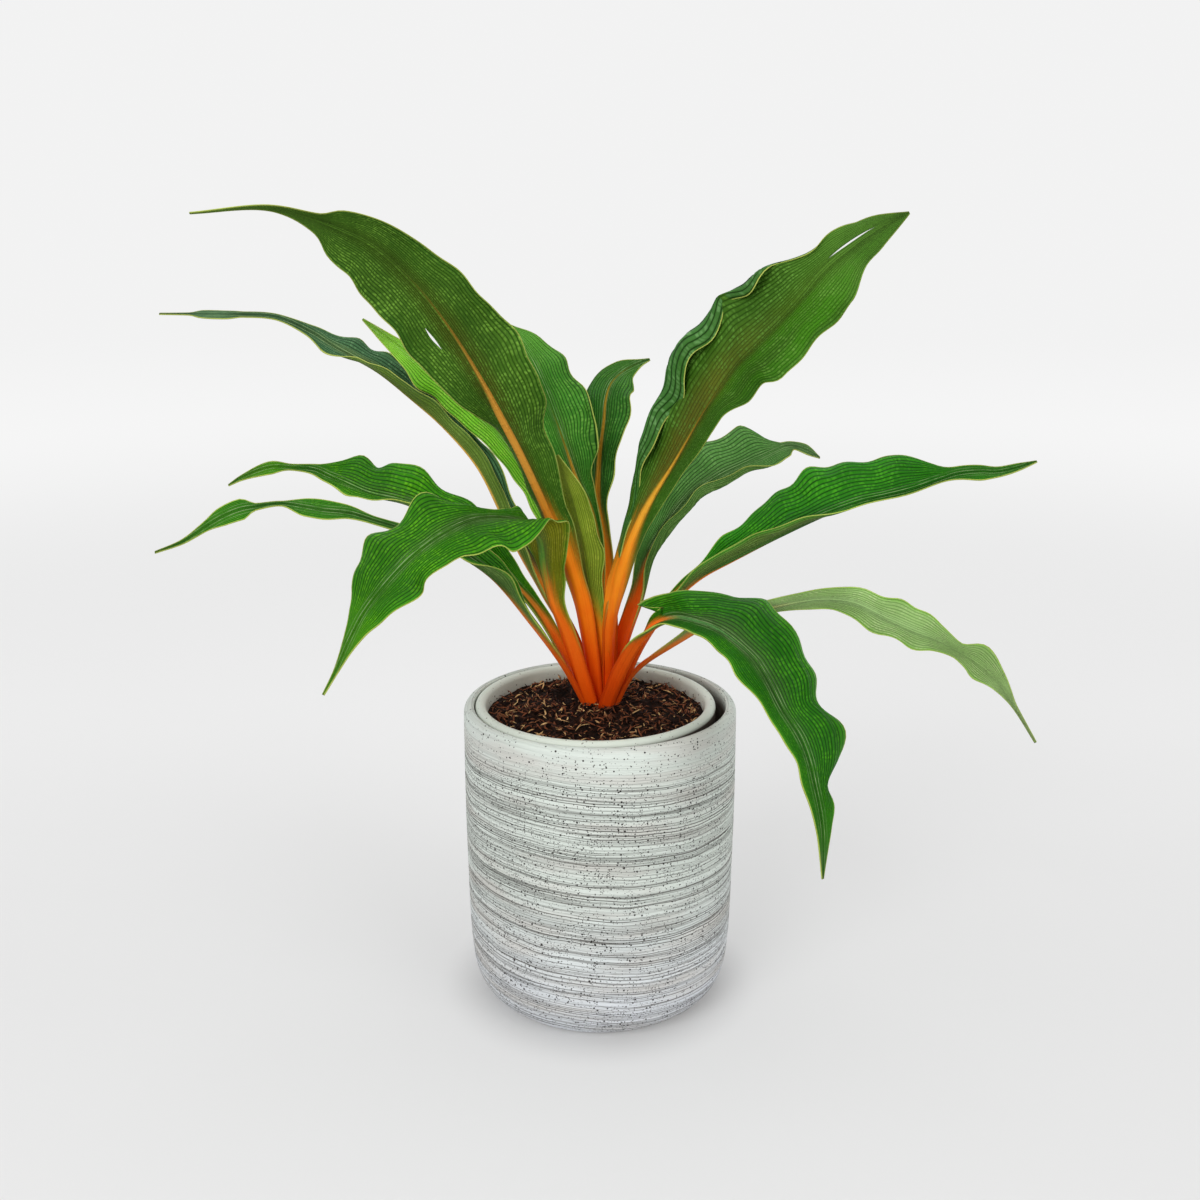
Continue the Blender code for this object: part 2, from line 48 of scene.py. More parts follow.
# Each leaf: the compass direction it leans to, in degrees from +X, then rows from the crown to the tip:
# x, y, z of the midrib, half width on the left and on the right, all in millimetres,
# then the blade's roll, and how far its left and right halves fold up, in degrees.
LEAVES = {
    "leaf_tall_left": (203, (
        (-1, 5, 146, 3.5, 3.5, 10, 15, 15), (-5, 2, 180, 4.5, 4.5, 20, 15, 15),
        (-11, -5, 214, 4.5, 4.5, 40, 20, 20), (-20, -12, 241, 9, 5, 60, 25, 35),
        (-28, -18, 262, 12, 7, 75, 20, 60), (-37, -25, 284, 18, 8, 80, 20, 70),
        (-45, -32, 302, 24, 11, 80, 15, 50), (-51, -37, 315, 25, 15, 80, 10, 20),
        (-66, -45, 342, 22, 21, 80, 10, 10), (-80, -53, 362, 16, 20, 80, 10, 10),
        (-95, -59, 377, 12, 18, 80, 10, 10), (-108, -63, 384, 8, 13, 80, 10, 10),
        (-116, -65, 387, 3, 6, 75, 10, 10), (-135, -68, 392, 1.5, 1.5, 60, 0, 0),
        (-167, -70, 390, 0.5, 0.5, 40, 0, 0))),
    "leaf_tall_right": (-26, (
        (4, 6, 146, 3.5, 3.5, 0, 15, 15), (4, 4, 180, 4, 4, -20, 15, 15), (5, 2, 197, 4, 4.5, -35, 20, 25),
        (9, -1, 217, 5, 5.5, -60, 30, 30), (15, -5, 237, 5, 7, -75, 30, 30),
        (24, -11, 259, 6.5, 16, -80, 30, 30), (35, -18, 280, 8, 25, -80, 25, 30),
        (47, -27, 304, 9.5, 31, -80, 20, 30), (53, -31, 315, 16, 32, -80, 20, 30),
        (60, -36, 326, 16.5, 32, -80, 20, 30), (66, -40, 333, 21, 30, -80, 18, 26),
        (78, -46, 346, 18.5, 25, -80, 15, 20), (87, -51, 357, 20, 19, -80, 15, 20),
        (96, -54, 368, 17, 13, -80, 15, 20), (112, -58, 381, 9, 8, -80, 15, 15),
        (128, -60, 390, 0.6, 0.6, -80, 0, 0))),
    "leaf_long_left": (152, (
        (-3.5, 14, 147, 3.5, 3.5, 0, 15, 15), (-14, 18, 181, 3.5, 3.5, -5, 20, 20),
        (-28, 22, 205, 4, 4, -10, 30, 20), (-40, 28, 225, 6, 7, -15, 60, 35),
        (-50, 34, 244, 6, 8, -15, 90, 45), (-62, 43, 265, 7, 10, -15, 100, 40),
        (-79, 53, 283, 7, 10, -20, 100, 30), (-97, 61, 298, 8, 11, -25, 80, 15),
        (-115, 69, 311, 8, 12, -35, 60, 5), (-136, 77, 321, 7, 10, -45, 20, 0),
        (-152, 82, 330, 3.5, 4, -55, 10, 0), (-170, 87, 337, 2, 2, -55, 0, 0),
        (-188, 90, 338, 2, 2, -50, 0, 0), (-197, 91, 338, 4, 3.5, -35, 0, 0),
        (-211, 93, 338, 3, 3, -40, 0, 0), (-218, 94, 338, 1, 1, -40, 0, 0),
        (-234, 95, 338, 0.6, 0.6, -40, 0, 0))),
    "leaf_narrow_left": (148, (
        (-1.5, 8.5, 147, 2.5, 2.5, 0, 15, 15), (-4, 12, 165, 2.5, 2.5, 0, 15, 15),
        (-9, 18, 191, 3, 3, 0, 20, 20), (-16, 24, 219, 5, 5, -30, 20, 20),
        (-25, 31, 245, 8, 7, -60, 15, 15), (-39, 40, 268, 9, 11, -70, 10, 10),
        (-56, 48, 287, 10, 10, -70, 10, 10), (-78, 57, 306, 12, 7, -65, 10, 10),
        (-99, 63, 321, 7, 4, -60, 10, 10), (-122, 70, 337, 0.6, 0.6, -50, 0, 0))),
    "leaf_mid_left": (178, (
        (-4, 8, 147, 2.5, 2.5, 0, 15, 15), (-17, 4, 175, 3.5, 3.5, -20, 15, 15),
        (-30, 2, 200, 3.5, 3.5, -40, 20, 20), (-44, 2, 217, 5, 7, -45, 30, 25),
        (-61, 2, 235, 8, 13, -50, 40, 15), (-76, 2, 247, 9, 18, -50, 50, 8),
        (-94, 3, 255, 9, 19, -50, 55, 5), (-111, 4, 259, 12, 21, -50, 45, 5),
        (-122, 6, 263, 8, 18, -50, 35, 5), (-131, 7, 267, 5, 10, -50, 20, 0),
        (-138, 8, 270, 3, 3.5, -50, 5, 0), (-150, 9, 271, 1.6, 2, -55, 0, 0),
        (-160, 10, 271, 4, 3, -60, 0, 0), (-174, 10, 266, 2, 1.6, -45, 0, 0),
        (-181, 10, 262, 0.6, 0.6, -40, 0, 0))),
    "leaf_low_left": (196, (
        (-5, 3, 147, 2.5, 2.5, 0, 15, 15), (-18, -3, 174, 3.5, 3.5, 0, 15, 15),
        (-33, -13, 199, 4, 5, 0, 20, 30), (-52, -20, 225, 9, 10, -10, 40, 50),
        (-70, -26, 239, 8, 10, -30, 30, 40), (-90, -31, 249, 3.5, 3.5, -30, 12, 12),
        (-103, -34, 254, 2.5, 2.5, -40, 10, 10), (-114, -36, 258, 3.5, 4, -45, 10, 10),
        (-125, -39, 260, 5, 5.5, -45, 5, 5), (-133, -41, 262, 5, 5, -45, 0, 0),
        (-144, -43, 264, 1.5, 1.5, -40, 0, 0), (-154, -45, 263, 2, 2, -40, 0, 0),
        (-161, -46, 262, 5, 5, -60, 0, 0), (-169, -48, 259, 4.5, 4.5, -60, 0, 0),
        (-176, -49, 255, 2.5, 2.5, -60, 0, 0), (-187, -50, 248, 1.3, 1.3, -50, 0, 0),
        (-200, -50, 243, 0.6, 0.6, -40, 0, 0))),
    "leaf_front_left": (226, (
        (-2, 2, 145, 3.5, 3.5, 0, 15, 15), (-7, -1, 159, 4.5, 4.5, 0, 15, 15),
        (-17, -8, 194, 5, 5, 0, 15, 15), (-23, -13, 211, 6, 6, 0, 20, 20),
        (-26, -19, 227, 10, 9, 0, 40, 20), (-28, -28, 245, 14, 13, 0, 45, 20),
        (-34, -39, 254, 17, 11, -15, 28, 18), (-45, -50, 259, 24, 5, -28, 18, 15),
        (-56, -60, 260, 24, 12, -35, 12, 10), (-69, -73, 256, 14, 20, -35, 6, 8),
        (-79, -84, 250, 14, 21, -28, 5, 6), (-89, -94, 241, 16, 19, -20, 5, 5),
        (-98, -101, 230, 11, 8, -12, 5, 5), (-104, -107, 219, 5, 3.5, -10, 5, 5),
        (-109, -112, 208, 1.6, 1.4, -10, 5, 5), (-114, -117, 199, 0.6, 0.6, -10, 0, 0))),
    "leaf_back_left": (118, (
        (3, 15.5, 147, 3, 3, 0, 15, 15), (0, 18, 170, 3, 3, 0, 15, 15), (-2, 19, 195, 3, 3, 0, 15, 15),
        (-2, 21, 222, 4, 4, 0, 25, 25), (-5, 26, 246, 7, 5, 0, 35, 50), (-12, 32, 261, 12, 10, 0, 20, 40),
        (-18, 38, 278, 17, 16, 0, 15, 25), (-23, 44, 291, 19, 20, 0, 10, 10),
        (-31, 52, 310, 17, 19, 0, 5, 5), (-40, 60, 325, 9, 12, 0, 0, 0), (-48, 66, 335, 1, 1, 0, 0, 0))),
    "leaf_back_right": (78, (
        (3.5, 9.5, 147, 3, 3, 0, 15, 15), (5, 13.5, 170, 3, 3, 0, 15, 15), (5, 20, 195, 3, 3, 0, 15, 15),
        (1, 33, 234, 4.5, 5, 0, 15, 30), (-1, 38, 247, 6, 6, 0, 10, 30), (0, 45, 271, 9, 11, 0, 10, 25),
        (2, 53, 287, 10, 14, 0, 10, 20), (3, 59, 297, 12, 15, 0, 10, 15), (6, 67, 305, 13, 13, 0, 0, 10),
        (12, 73, 310, 8, 8, 0, 0, 0), (20, 75, 314, 3, 3, 0, 0, 0), (26, 76, 316, 0.8, 0.8, 0, 0, 0))),
    "leaf_young": (250, (
        (2, 6, 147, 2, 2, 0, 15, 15), (1, 2, 185, 2.5, 2.5, 0, 15, 15), (-2, 1, 200, 3.5, 3, 0, 20, 20),
        (-5, 0, 214, 6, 3.5, 0, 25, 25), (-7, -2, 232, 8, 6, 0, 20, 20), (-10, -4, 248, 8, 6, 0, 15, 15),
        (-14, -6, 263, 6, 5, 0, 10, 10), (-20, -8, 280, 0.6, 0.6, 0, 0, 0))),
    "leaf_short_right": (38, (
        (3, 10, 147, 3, 3, 0, 15, 15), (10, 15, 176, 4, 4, 8, 15, 15), (20, 23, 205, 4, 3.5, 15, 20, 20),
        (25, 29, 223, 6, 4.5, 20, 30, 30), (34, 36, 236, 10, 5, 25, 30, 20),
        (46, 46, 249, 16, 5, 30, 18, 8), (60, 54, 257, 20, 5.5, 30, 12, 0), (73, 62, 262, 22, 6, 30, 10, 0),
        (85, 68, 266, 21, 8, 30, 10, 0), (94, 74, 269, 8, 9, 30, 10, 0), (98, 77, 270, 3, 6, 35, 5, 0),
        (103, 80, 270, 3, 3, 45, 0, 0), (111, 84, 267, 3.5, 3, 60, 0, 0),
        (119, 88, 262, 0.6, 0.6, 60, 0, 0))),
    "leaf_mid_right": (-3, (
        (7, 10, 147, 3, 3, 0, 15, 15), (19, 4, 179, 3, 3, 8, 15, 18), (28, 2, 195, 3.5, 3.5, 12, 15, 25),
        (37, 0, 208, 4.5, 5, 16, 20, 35), (49, -2, 219, 7, 7, 22, 25, 60), (64, -4, 228, 12, 9, 30, 25, 75),
        (85, -6, 240, 21, 9, 38, 15, 75), (106, -8, 251, 25, 7, 42, 12, 45),
        (125, -8, 258, 24, 3, 45, 10, 15), (146, -8, 263, 20, 2.5, 45, 8, 8),
        (160, -8, 268, 10, 2, 45, 5, 5), (169, -8, 271, 4.5, 3.5, 45, 5, 5),
        (179, -8, 272, 4, 5.5, 40, 5, 5), (188, -8, 272, 3, 3.5, 40, 5, 5),
        (197, -8, 274, 2.6, 2.4, 35, 5, 5), (206, -8, 277, 0.6, 0.6, 30, 0, 0))),
    "leaf_low_right": (-14, (
        (6, 3, 147, 2.2, 2.2, 0, 15, 15), (17, -4, 171, 2.5, 2.5, 0, 15, 15),
        (38, -14, 190, 3, 3, -30, 15, 15), (57, -21, 204, 3.5, 4, -60, 20, 20),
        (75, -25, 209, 3, 3.5, -80, 20, 20), (103, -32, 216, 5, 5, -95, 15, 15),
        (118, -34, 215, 7, 7, -95, 12, 12), (134, -37, 208, 9, 10, -95, 12, 10),
        (146, -39, 203, 9, 10, -95, 12, 10), (157, -41, 199, 6, 7, -95, 10, 10),
        (166, -42, 194, 4, 4, -95, 8, 8), (175, -43, 189, 8, 8, -92, 8, 8),
        (184, -45, 181, 5, 5, -88, 5, 5), (194, -46, 167, 1.2, 1.2, -80, 5, 5),
        (204, -48, 151, 0.6, 0.6, -80, 0, 0))),
    "leaf_front_right": (-47, (
        (2, 1, 146, 4, 4, 0, 15, 15), (6, -4, 160, 5, 5, 0, 15, 15), (18, -17, 190, 5.5, 5, 10, 20, 20),
        (27, -27, 203, 6, 5.5, 40, 20, 25), (36, -35, 208, 9, 7, 36, 18, 15),
        (40, -40, 209, 11, 7, 32, 15, 10), (44, -44, 209, 17, 7, 27, 12, 8),
        (50, -51, 209, 26, 8, 23, 10, 6), (58, -59, 206, 29, 10, 20, 8, 5),
        (69, -69, 198, 29, 12, 20, 5, 5), (80, -82, 180, 23, 8, 18, 5, 5), (88, -92, 168, 22, 8, 15, 5, 5),
        (93, -101, 151, 12, 6, 10, 5, 5), (96, -106, 134, 6, 4, 5, 5, 5),
        (97, -108, 111, 0.6, 0.6, 0, 0, 0))),
}

# How a leaf's margins curl away from the blade. Each row: how far along the leaf, 0 to 1, the curl of the
# left and of the right half in degrees, up being positive, where across a half the curl starts, how strongly
# the margins ruffle, and where they roll over, how many times wider the left and the right half are.
# Every leaf starts flat at the crown and ends flat at the tip.
FLAT_START = (0, 0, 0, 0.5, 0, 1, 1)
FLAT_END = (1, 0, 0, 0.5, 1, 1, 1)
PLAIN_CURL = ((0.3, 0, 0, 0.5, 1), (0.8, -15, -15, 0.5, 1.6))
CURLS = {
    "leaf_tall_left": ((0.3, 0, 40, 0.6, 1), (0.4, 0, 10, 0.6, 1), (0.55, -15, -20, 0.5, 0.6),
                       (0.8, -25, -10, 0.5, 0.6)),
    "leaf_tall_right": ((0, 0, 0, 0.6, 0), (0.14, 0, -100, 0.5, 0.2, 1, 1.2),
                        (0.22, 0, -168, 0.5, 0.3, 1, 1.6), (0.32, 0, -172, 0.55, 0.4, 1, 1.5),
                        (0.42, 0, -170, 0.66, 0.5, 1, 1.36),
                        (0.53, 0, -178, 0.6, 0.5, 1, 1.46), (0.6, 0, -178, 0.62, 0.6, 1, 1.4),
                        (0.75, -5, -175, 0.74, 0.8, 1, 1.2), (0.85, -10, -110, 0.8, 1.0, 1, 1.05),
                        (0.93, 25, 35, 0.6, 1)),
    "leaf_long_left": ((0.35, 60, 10, 0.5, 1), (0.55, 40, -20, 0.5, 1.8), (0.8, 20, -30, 0.4, 2.4)),
    "leaf_mid_left": ((0.35, 30, -20, 0.5, 1), (0.6, 20, -30, 0.5, 1.9)),
    "leaf_low_left": ((0.3, 10, 0, 0.5, 1), (0.6, -20, -20, 0.5, 1.8)),
    "leaf_front_left": ((0.3, 0, 0, 0.5, 1), (0.6, -20, -20, 0.6, 1.9), (0.85, -20, -15, 0.5, 1.6)),
    "leaf_back_left": ((0.4, 0, 60, 0.7, 1), (0.6, -10, 110, 0.8, 1, 1, 1.08), (0.8, -20, 20, 0.7, 1.5)),
    "leaf_mid_right": ((0.3, 0, 40, 0.5, 1), (0.5, -20, 60, 0.6, 1.3), (0.8, -20, 0, 0.6, 1.8)),
    "leaf_front_right": ((0.25, 20, 10, 0.5, 1), (0.5, -30, -10, 0.5, 1.7), (0.8, -30, -10, 0.5, 1.8)),
    "leaf_short_right": ((0.3, 0, 60, 0.55, 1, 1, 1.2), (0.42, 0, 160, 0.5, 1.2, 1, 1.8),
                         (0.66, -10, 165, 0.5, 1.4, 1.05, 1.9), (0.82, -20, 60, 0.7, 1.6, 1, 1.1)),
    "leaf_low_right": ((0.3, 0, 0, 0.5, 1), (0.6, -20, 25, 0.5, 2.4), (0.85, -25, 20, 0.5, 2.2)),
}

# How far a leaf's left margin sweeps back toward the crown: how far along, then millimetres.
SWEEPS = {
    "leaf_front_right": ((0, 0), (0.31, 0), (0.345, 30), (0.372, 20), (0.40, 13), (0.45, 7), (0.53, 2),
                         (0.6, 0)),
}
NO_SWEEP = ((0, 0), (1, 0))

# Short tears beside the midrib: how far along the leaf they start, how many rows they span,
# the half (1 left, -1 right), the column, and how wide they gape against that column.
TEARS = {
    "leaf_tall_left": (0.615, 6, -1, 8, 1.3),
    "leaf_tall_right": (0.868, 12, -1, 4, 2.4),
}

# Each leaf's own paint, in the order of PAINTED: the upper face dark and light, the light one also painting
# highlights on the blisters, the underside dark and light, beside the midrib (painted shade in the midrib's
# crease on the two tall leaves, a greyish painted sheen on others) and along the margin, the midrib, the
# stalk and its foot; then how far up the green starts and is full, where the golden midrib ends, the number
# of ribs on each half, how much brighter the left half is painted as the light its fold catches, and the
# midrib's width in millimetres.
PAINTED = ("Upper", "Upper Light", "Under", "Under Light", "Centre", "Edge", "Midrib", "Stalk", "Foot",
           "Green From", "Green To", "Gold End", "Ribs", "Lit Half", "Gold Width")
LEAF_PAINT = {
    "leaf_tall_left": ((60, 100, 34), (95, 150, 50), (50, 88, 14), (112, 158, 56), (80, 80, 18), (34, 78, 10),
        (196, 136, 50), (246, 136, 20), (236, 84, 6), 0.26, 0.41, 0.74, 17, 0.0, 2.2),
    "leaf_tall_right": ((56, 112, 44), (108, 158, 92), (56, 98, 18), (100, 150, 56), (104, 92, 26),
        (50, 100, 20), (222, 160, 48), (242, 144, 30), (236, 86, 6), 0.26, 0.42, 0.64, 17, 0.62, 2.8),
    "leaf_long_left": ((50, 92, 56), (92, 134, 90), (88, 116, 38), (112, 140, 60), (100, 110, 44),
        (66, 106, 56), (216, 170, 76), (238, 142, 40), (226, 88, 14), 0.2, 0.34, 0.7, 8, 0.0, 3),
    # this leaf's greens are painted bright: painted light shining through it from behind
    "leaf_narrow_left": ((110, 188, 36), (158, 216, 76), (100, 170, 36), (150, 208, 76), (92, 156, 38),
        (72, 150, 20), (130, 170, 60), (220, 150, 40), (226, 88, 14), 0.18, 0.32, 0.4, 9, 0.0, 2),
    "leaf_mid_left": ((40, 114, 4), (96, 172, 22), (88, 124, 48), (120, 152, 70), (70, 98, 48), (60, 140, 24),
        (236, 162, 60), (242, 136, 36), (232, 88, 12), 0.2, 0.36, 0.6, 11, 0.0, 3),
    "leaf_low_left": ((40, 108, 10), (78, 148, 34), (84, 118, 52), (110, 142, 70), (60, 92, 38),
        (68, 140, 30), (214, 130, 60), (234, 126, 40), (226, 78, 10), 0.22, 0.36, 0.45, 8, 0.0, 2.4),
    "leaf_front_left": ((38, 106, 6), (88, 162, 22), (112, 118, 14), (146, 146, 42), (72, 98, 48),
        (52, 130, 16), (92, 150, 56), (242, 124, 28), (232, 80, 6), 0.26, 0.38, 0.5, 15, 0.0, 3),
    "leaf_back_left": ((58, 128, 34), (112, 178, 68), (80, 120, 50), (112, 150, 70), (80, 110, 40),
        (42, 92, 28), (226, 160, 50), (240, 140, 26), (232, 88, 10), 0.32, 0.5, 0.78, 13, 0.0, 9),
    "leaf_back_right": ((40, 102, 24), (80, 138, 50), (70, 108, 40), (100, 140, 60), (70, 90, 34),
        (48, 92, 24), (224, 160, 50), (240, 140, 26), (232, 88, 10), 0.38, 0.62, 1.0, 10, 0.0, 6),
    "leaf_young": ((118, 144, 20), (166, 188, 56), (124, 146, 40), (162, 178, 60), (110, 130, 30),
        (80, 120, 20), (150, 160, 56), (228, 156, 24), (236, 100, 8), 0.3, 0.52, 0.3, 8, 0.0, 3),
    "leaf_short_right": ((70, 122, 50), (104, 154, 78), (80, 120, 50), (110, 146, 76), (80, 112, 60),
        (60, 110, 40), (236, 116, 30), (238, 108, 18), (228, 74, 6), 0.3, 0.42, 0.52, 12, 0.0, 2.4),
    "leaf_mid_right": ((30, 108, 6), (66, 150, 24), (78, 104, 42), (104, 136, 62), (32, 84, 28),
        (50, 140, 28), (236, 130, 60), (238, 126, 30), (226, 76, 8), 0.26, 0.4, 0.62, 13, 0.0, 3),
    "leaf_low_right": ((80, 146, 46), (124, 186, 76), (136, 172, 100), (174, 202, 136), (150, 182, 120),
        (116, 176, 58), (176, 150, 96), (228, 134, 56), (218, 78, 14), 0.24, 0.36, 0.5, 9, 0.0, 2),
    "leaf_front_right": ((24, 92, 4), (66, 142, 18), (96, 130, 60), (130, 160, 80), (60, 86, 42),
        (70, 150, 24), (90, 146, 76), (240, 114, 28), (224, 72, 8), 0.29, 0.37, 0.6, 16, 0.0, 3),
}

LEAF_GAIN = 1.05     # leaves are painted this much lighter than they are to look under the lamps


def tone(red, green, blue):
    """A colour mixed on the 0 to 255 scale, as the linear values that a shader takes."""
    values = [c / 255.0 for c in (red, green, blue)]
    return tuple(v / 12.92 if v <= 0.04045 else ((v + 0.055) / 1.055) ** 2.4 for v in values) + (1.0,)


def lit(colour):
    """A leaf's colour, lightened so that it looks as mixed under the soft lamps."""
    return tuple(min(v * LEAF_GAIN, 0.95) for v in tone(*colour)[:3]) + (1.0,)


# ---------------------------------------------------------------- workshop helpers

def fresh():
    """Leave every object unselected, in object mode."""
    if bpy.context.object and bpy.context.object.mode != "OBJECT":
        object_mode()
    bpy.ops.object.select_all(action="DESELECT")


def object_mode():
    bpy.ops.object.mode_set(mode="OBJECT")


def edit_mode():
    """Enter edit mode with every point picked."""
    bpy.ops.object.mode_set(mode="EDIT")
    bpy.ops.mesh.select_mode(type="VERT")
    bpy.ops.mesh.select_all(action="SELECT")


def named(name):
    """Give the piece just added its name, and move its place into its mesh."""
    piece = bpy.context.object
    piece.name = piece.data.name = name
    bpy.ops.object.transform_apply(location=True, rotation=True, scale=True)
    return piece


def turned(name, profile, steps):
    """Draw a profile of (radius, height) point by point and spin it round the vertical axis."""
    fresh()
    bpy.ops.mesh.primitive_plane_add(size=MM, location=(profile[0][0], 0.0, profile[0][1]))
    piece = named(name)
    edit_mode()
    bpy.ops.mesh.merge(type="CENTER")
    for (r0, z0), (r1, z1) in zip(profile, profile[1:]):
        bpy.ops.mesh.extrude_vertices_move(TRANSFORM_OT_translate={"value": (r1 - r0, 0.0, z1 - z0)})
    bpy.ops.mesh.select_all(action="SELECT")
    bpy.ops.mesh.spin(steps=steps, angle=TURN, center=(0, 0, 0), axis=(0, 0, 1), use_auto_merge=True)
    bpy.ops.mesh.select_all(action="SELECT")
    bpy.ops.mesh.remove_doubles(threshold=0.01 * MM)
    bpy.ops.mesh.normals_make_consistent(inside=False)
    object_mode()
    bpy.ops.object.shade_smooth()
    return piece


def points_of(piece):
    flat = np.empty(len(piece.data.vertices) * 3)
    piece.data.vertices.foreach_get("co", flat)
    return flat.reshape(-1, 3)


def move_points(piece, points):
    piece.data.vertices.foreach_set("co", np.asarray(points, float).ravel())
    piece.data.update()


def mark(piece, name, values):
    """Keep one value per point of the piece, for its material to read."""
    layer = piece.data.attributes.new(name, "FLOAT", "POINT")
    layer.data.foreach_set("value", np.asarray(values, np.float32))


def arc(centre_r, centre_z, radius, start, stop, count):
    """Points of a rounded corner, angles in degrees from outward, anticlockwise."""
    angles = [math.radians(start + (stop - start) * i / (count - 1)) for i in range(count)]
    return [(centre_r + radius * math.cos(a), centre_z + radius * math.sin(a)) for a in angles]


def ease(value, low, high):
    """0 below low, 1 above high, smooth between."""
    t = np.clip((value - low) / (high - low), 0.0, 1.0)
    return t * t * (3 - 2 * t)


def evenly(points, pitch):
    """The same profile with points no further apart than pitch."""
    path = [points[0]]
    for (r0, z0), (r1, z1) in zip(points, points[1:]):
        count = max(1, math.ceil(math.hypot(r1 - r0, z1 - z0) / pitch))
        path += [(r0 + (r1 - r0) * i / count, z0 + (z1 - z0) * i / count) for i in range(1, count + 1)]
    return path


def on_curve(table, tangents, k, width, u):
    """The smooth curve through a table's rows, at the share u of the way from row k to the next."""
    start = (2 * u**3 - 3 * u**2 + 1) * table[k] + (u**3 - 2 * u**2 + u) * width * tangents[k]
    return start + ((3 * u**2 - 2 * u**3) * table[k + 1] + (u**3 - u**2) * width * tangents[k + 1])


def knots_of(places):
    """The curve's own clock at each of its places: slower where they lie close together."""
    return np.concatenate([[0.0], np.cumsum(np.sqrt(np.linalg.norm(np.diff(places, axis=0), axis=1)))])


def flowing(points, pitch):
    """A smooth profile through the points, its points no further apart than pitch."""
    table = np.array(points, float)
    knots = knots_of(table)
    tangents = np.gradient(table, knots, axis=0)
    path = [points[0]]
    for k in range(len(points) - 1):
        count = max(1, math.ceil(np.linalg.norm(table[k + 1] - table[k]) / pitch))
        for u in np.arange(1, count + 1) / count:
            path.append(tuple(on_curve(table, tangents, k, knots[k + 1] - knots[k], u)))
    return path


# ---------------------------------------------------------------- shader helpers

SKIN = ("Color", "Roughness", "Height")     # what every skin group puts out
WHITE = (1.0, 1.0, 1.0, 1.0)


def grey(level):
    return (level, level, level, 1.0)


class Value:
    """A value in a node tree; sums with it add math nodes to the tree."""

    def __init__(self, nodes, socket):
        self.nodes = nodes
        self.socket = socket

    def __add__(self, other):
        return self.nodes.math("ADD", self, other)

    def __sub__(self, other):
        return self.nodes.math("SUBTRACT", self, other)

    def __rsub__(self, other):
        return self.nodes.math("SUBTRACT", other, self)

    def __mul__(self, other):
        return self.nodes.math("MULTIPLY", self, other)

    def __truediv__(self, other):
        return self.nodes.math("DIVIDE", self, other)

    def __pow__(self, other):
        return self.nodes.math("POWER", self, other)

    def __abs__(self):
        return self.nodes.math("ABSOLUTE", self)

    __radd__ = __add__
    __rmul__ = __mul__


class Nodes:
    """Short hand for wiring one node tree."""

    def __init__(self, tree):
        self.tree = tree

    def add(self, kind, inputs=(), **settings):
        """A new node, with inputs filled by name or by number."""
        node = self.tree.nodes.new("ShaderNode" + kind)
        for key, setting in settings.items():
            setattr(node, key, setting)
        for key, source in dict(inputs).items():
            self.wire(source, node.inputs[key])
        return node

    def get(self, output, kind, inputs=(), **settings):
        """What one output of a new node gives."""
        return Value(self, self.add(kind, inputs, **settings).outputs[output])

    def wire(self, source, socket):
        """Link a value or an output to the socket, or set the socket to a number or a colour."""
        source = getattr(source, "socket", source)
        if isinstance(source, bpy.types.NodeSocket):
            self.tree.links.new(source, socket)
        else:
            socket.default_value = source

    def give(self, **values):
        """Wire a group's own outputs."""
        ends = self.tree.nodes.new("NodeGroupOutput").inputs
        for label, value in values.items():
            self.wire(value, ends[label])

    def math(self, operation, *inputs, clamp=False):
        return self.get(0, "Math", enumerate(inputs), operation=operation, use_clamp=clamp)

    def most(self, value, *others):
        """The greatest of several values."""
        for other in others:
            value = self.math("MAXIMUM", value, other)
        return value

    def swell(self, value):
        """0 at every whole number, 1 half way between."""
        return self.math("SINE", self.math("FRACT", value) * math.pi)

    def ramp(self, source, low, high, out_low=0.0, out_high=1.0):
        """Smooth step of a value, from out_low at low to out_high at high."""
        ends = {"Value": source, "From Min": low, "From Max": high, "To Min": out_low, "To Max": out_high}
        return self.get("Result", "MapRange", ends, interpolation_type="SMOOTHSTEP")

    def blend(self, factor, first, second, mode="MIX"):
        return self.get(2, "Mix", {"Factor": factor, 6: first, 7: second}, data_type="RGBA", blend_type=mode)

    def shaded(self, factor, colour, shade):
        """The colour, multiplied by the shade where the factor is 1."""
        return self.blend(factor, colour, self.blend(1.0, colour, shade, "MULTIPLY"))

    def attribute(self, name):
        return self.get("Fac", "Attribute", attribute_name=name)

    def noise(self, vector, scale, detail=3.0, rough=0.5):
        inputs = {"Vector": vector, "Scale": scale, "Detail": detail, "Roughness": rough}
        return self.get("Fac", "TexNoise", inputs)

    def cells(self, vector, scale):
        return self.add("TexVoronoi", {"Vector": vector, "Scale": scale})

    def here(self):
        return self.get("Object", "TexCoord")

    def parts(self, kind, source):
        return [Value(self, part) for part in self.add(kind, {0: source}).outputs]

    def chances(self, node):
        """Three chances, 0 to 1, from a node's random colour."""
        return self.parts("SeparateColor", node.outputs["Color"])

    def axes(self):
        """Object coordinates, as three values."""
        return self.parts("SeparateXYZ", self.here())

    def place(self, scale=(1.0, 1.0, 1.0)):
        """Object coordinates, stretched for a pattern."""
        return self.get("Vector", "Mapping", {"Scale": scale, "Vector": self.here()})

    def triple(self, x, y, z):
        return self.get(0, "CombineXYZ", enumerate((x, y, z)))

    def mask(self, group, **inputs):
        """The mask that an effect group gives with these inputs."""
        return self.get("Mask", "Group", inputs, node_tree=group)


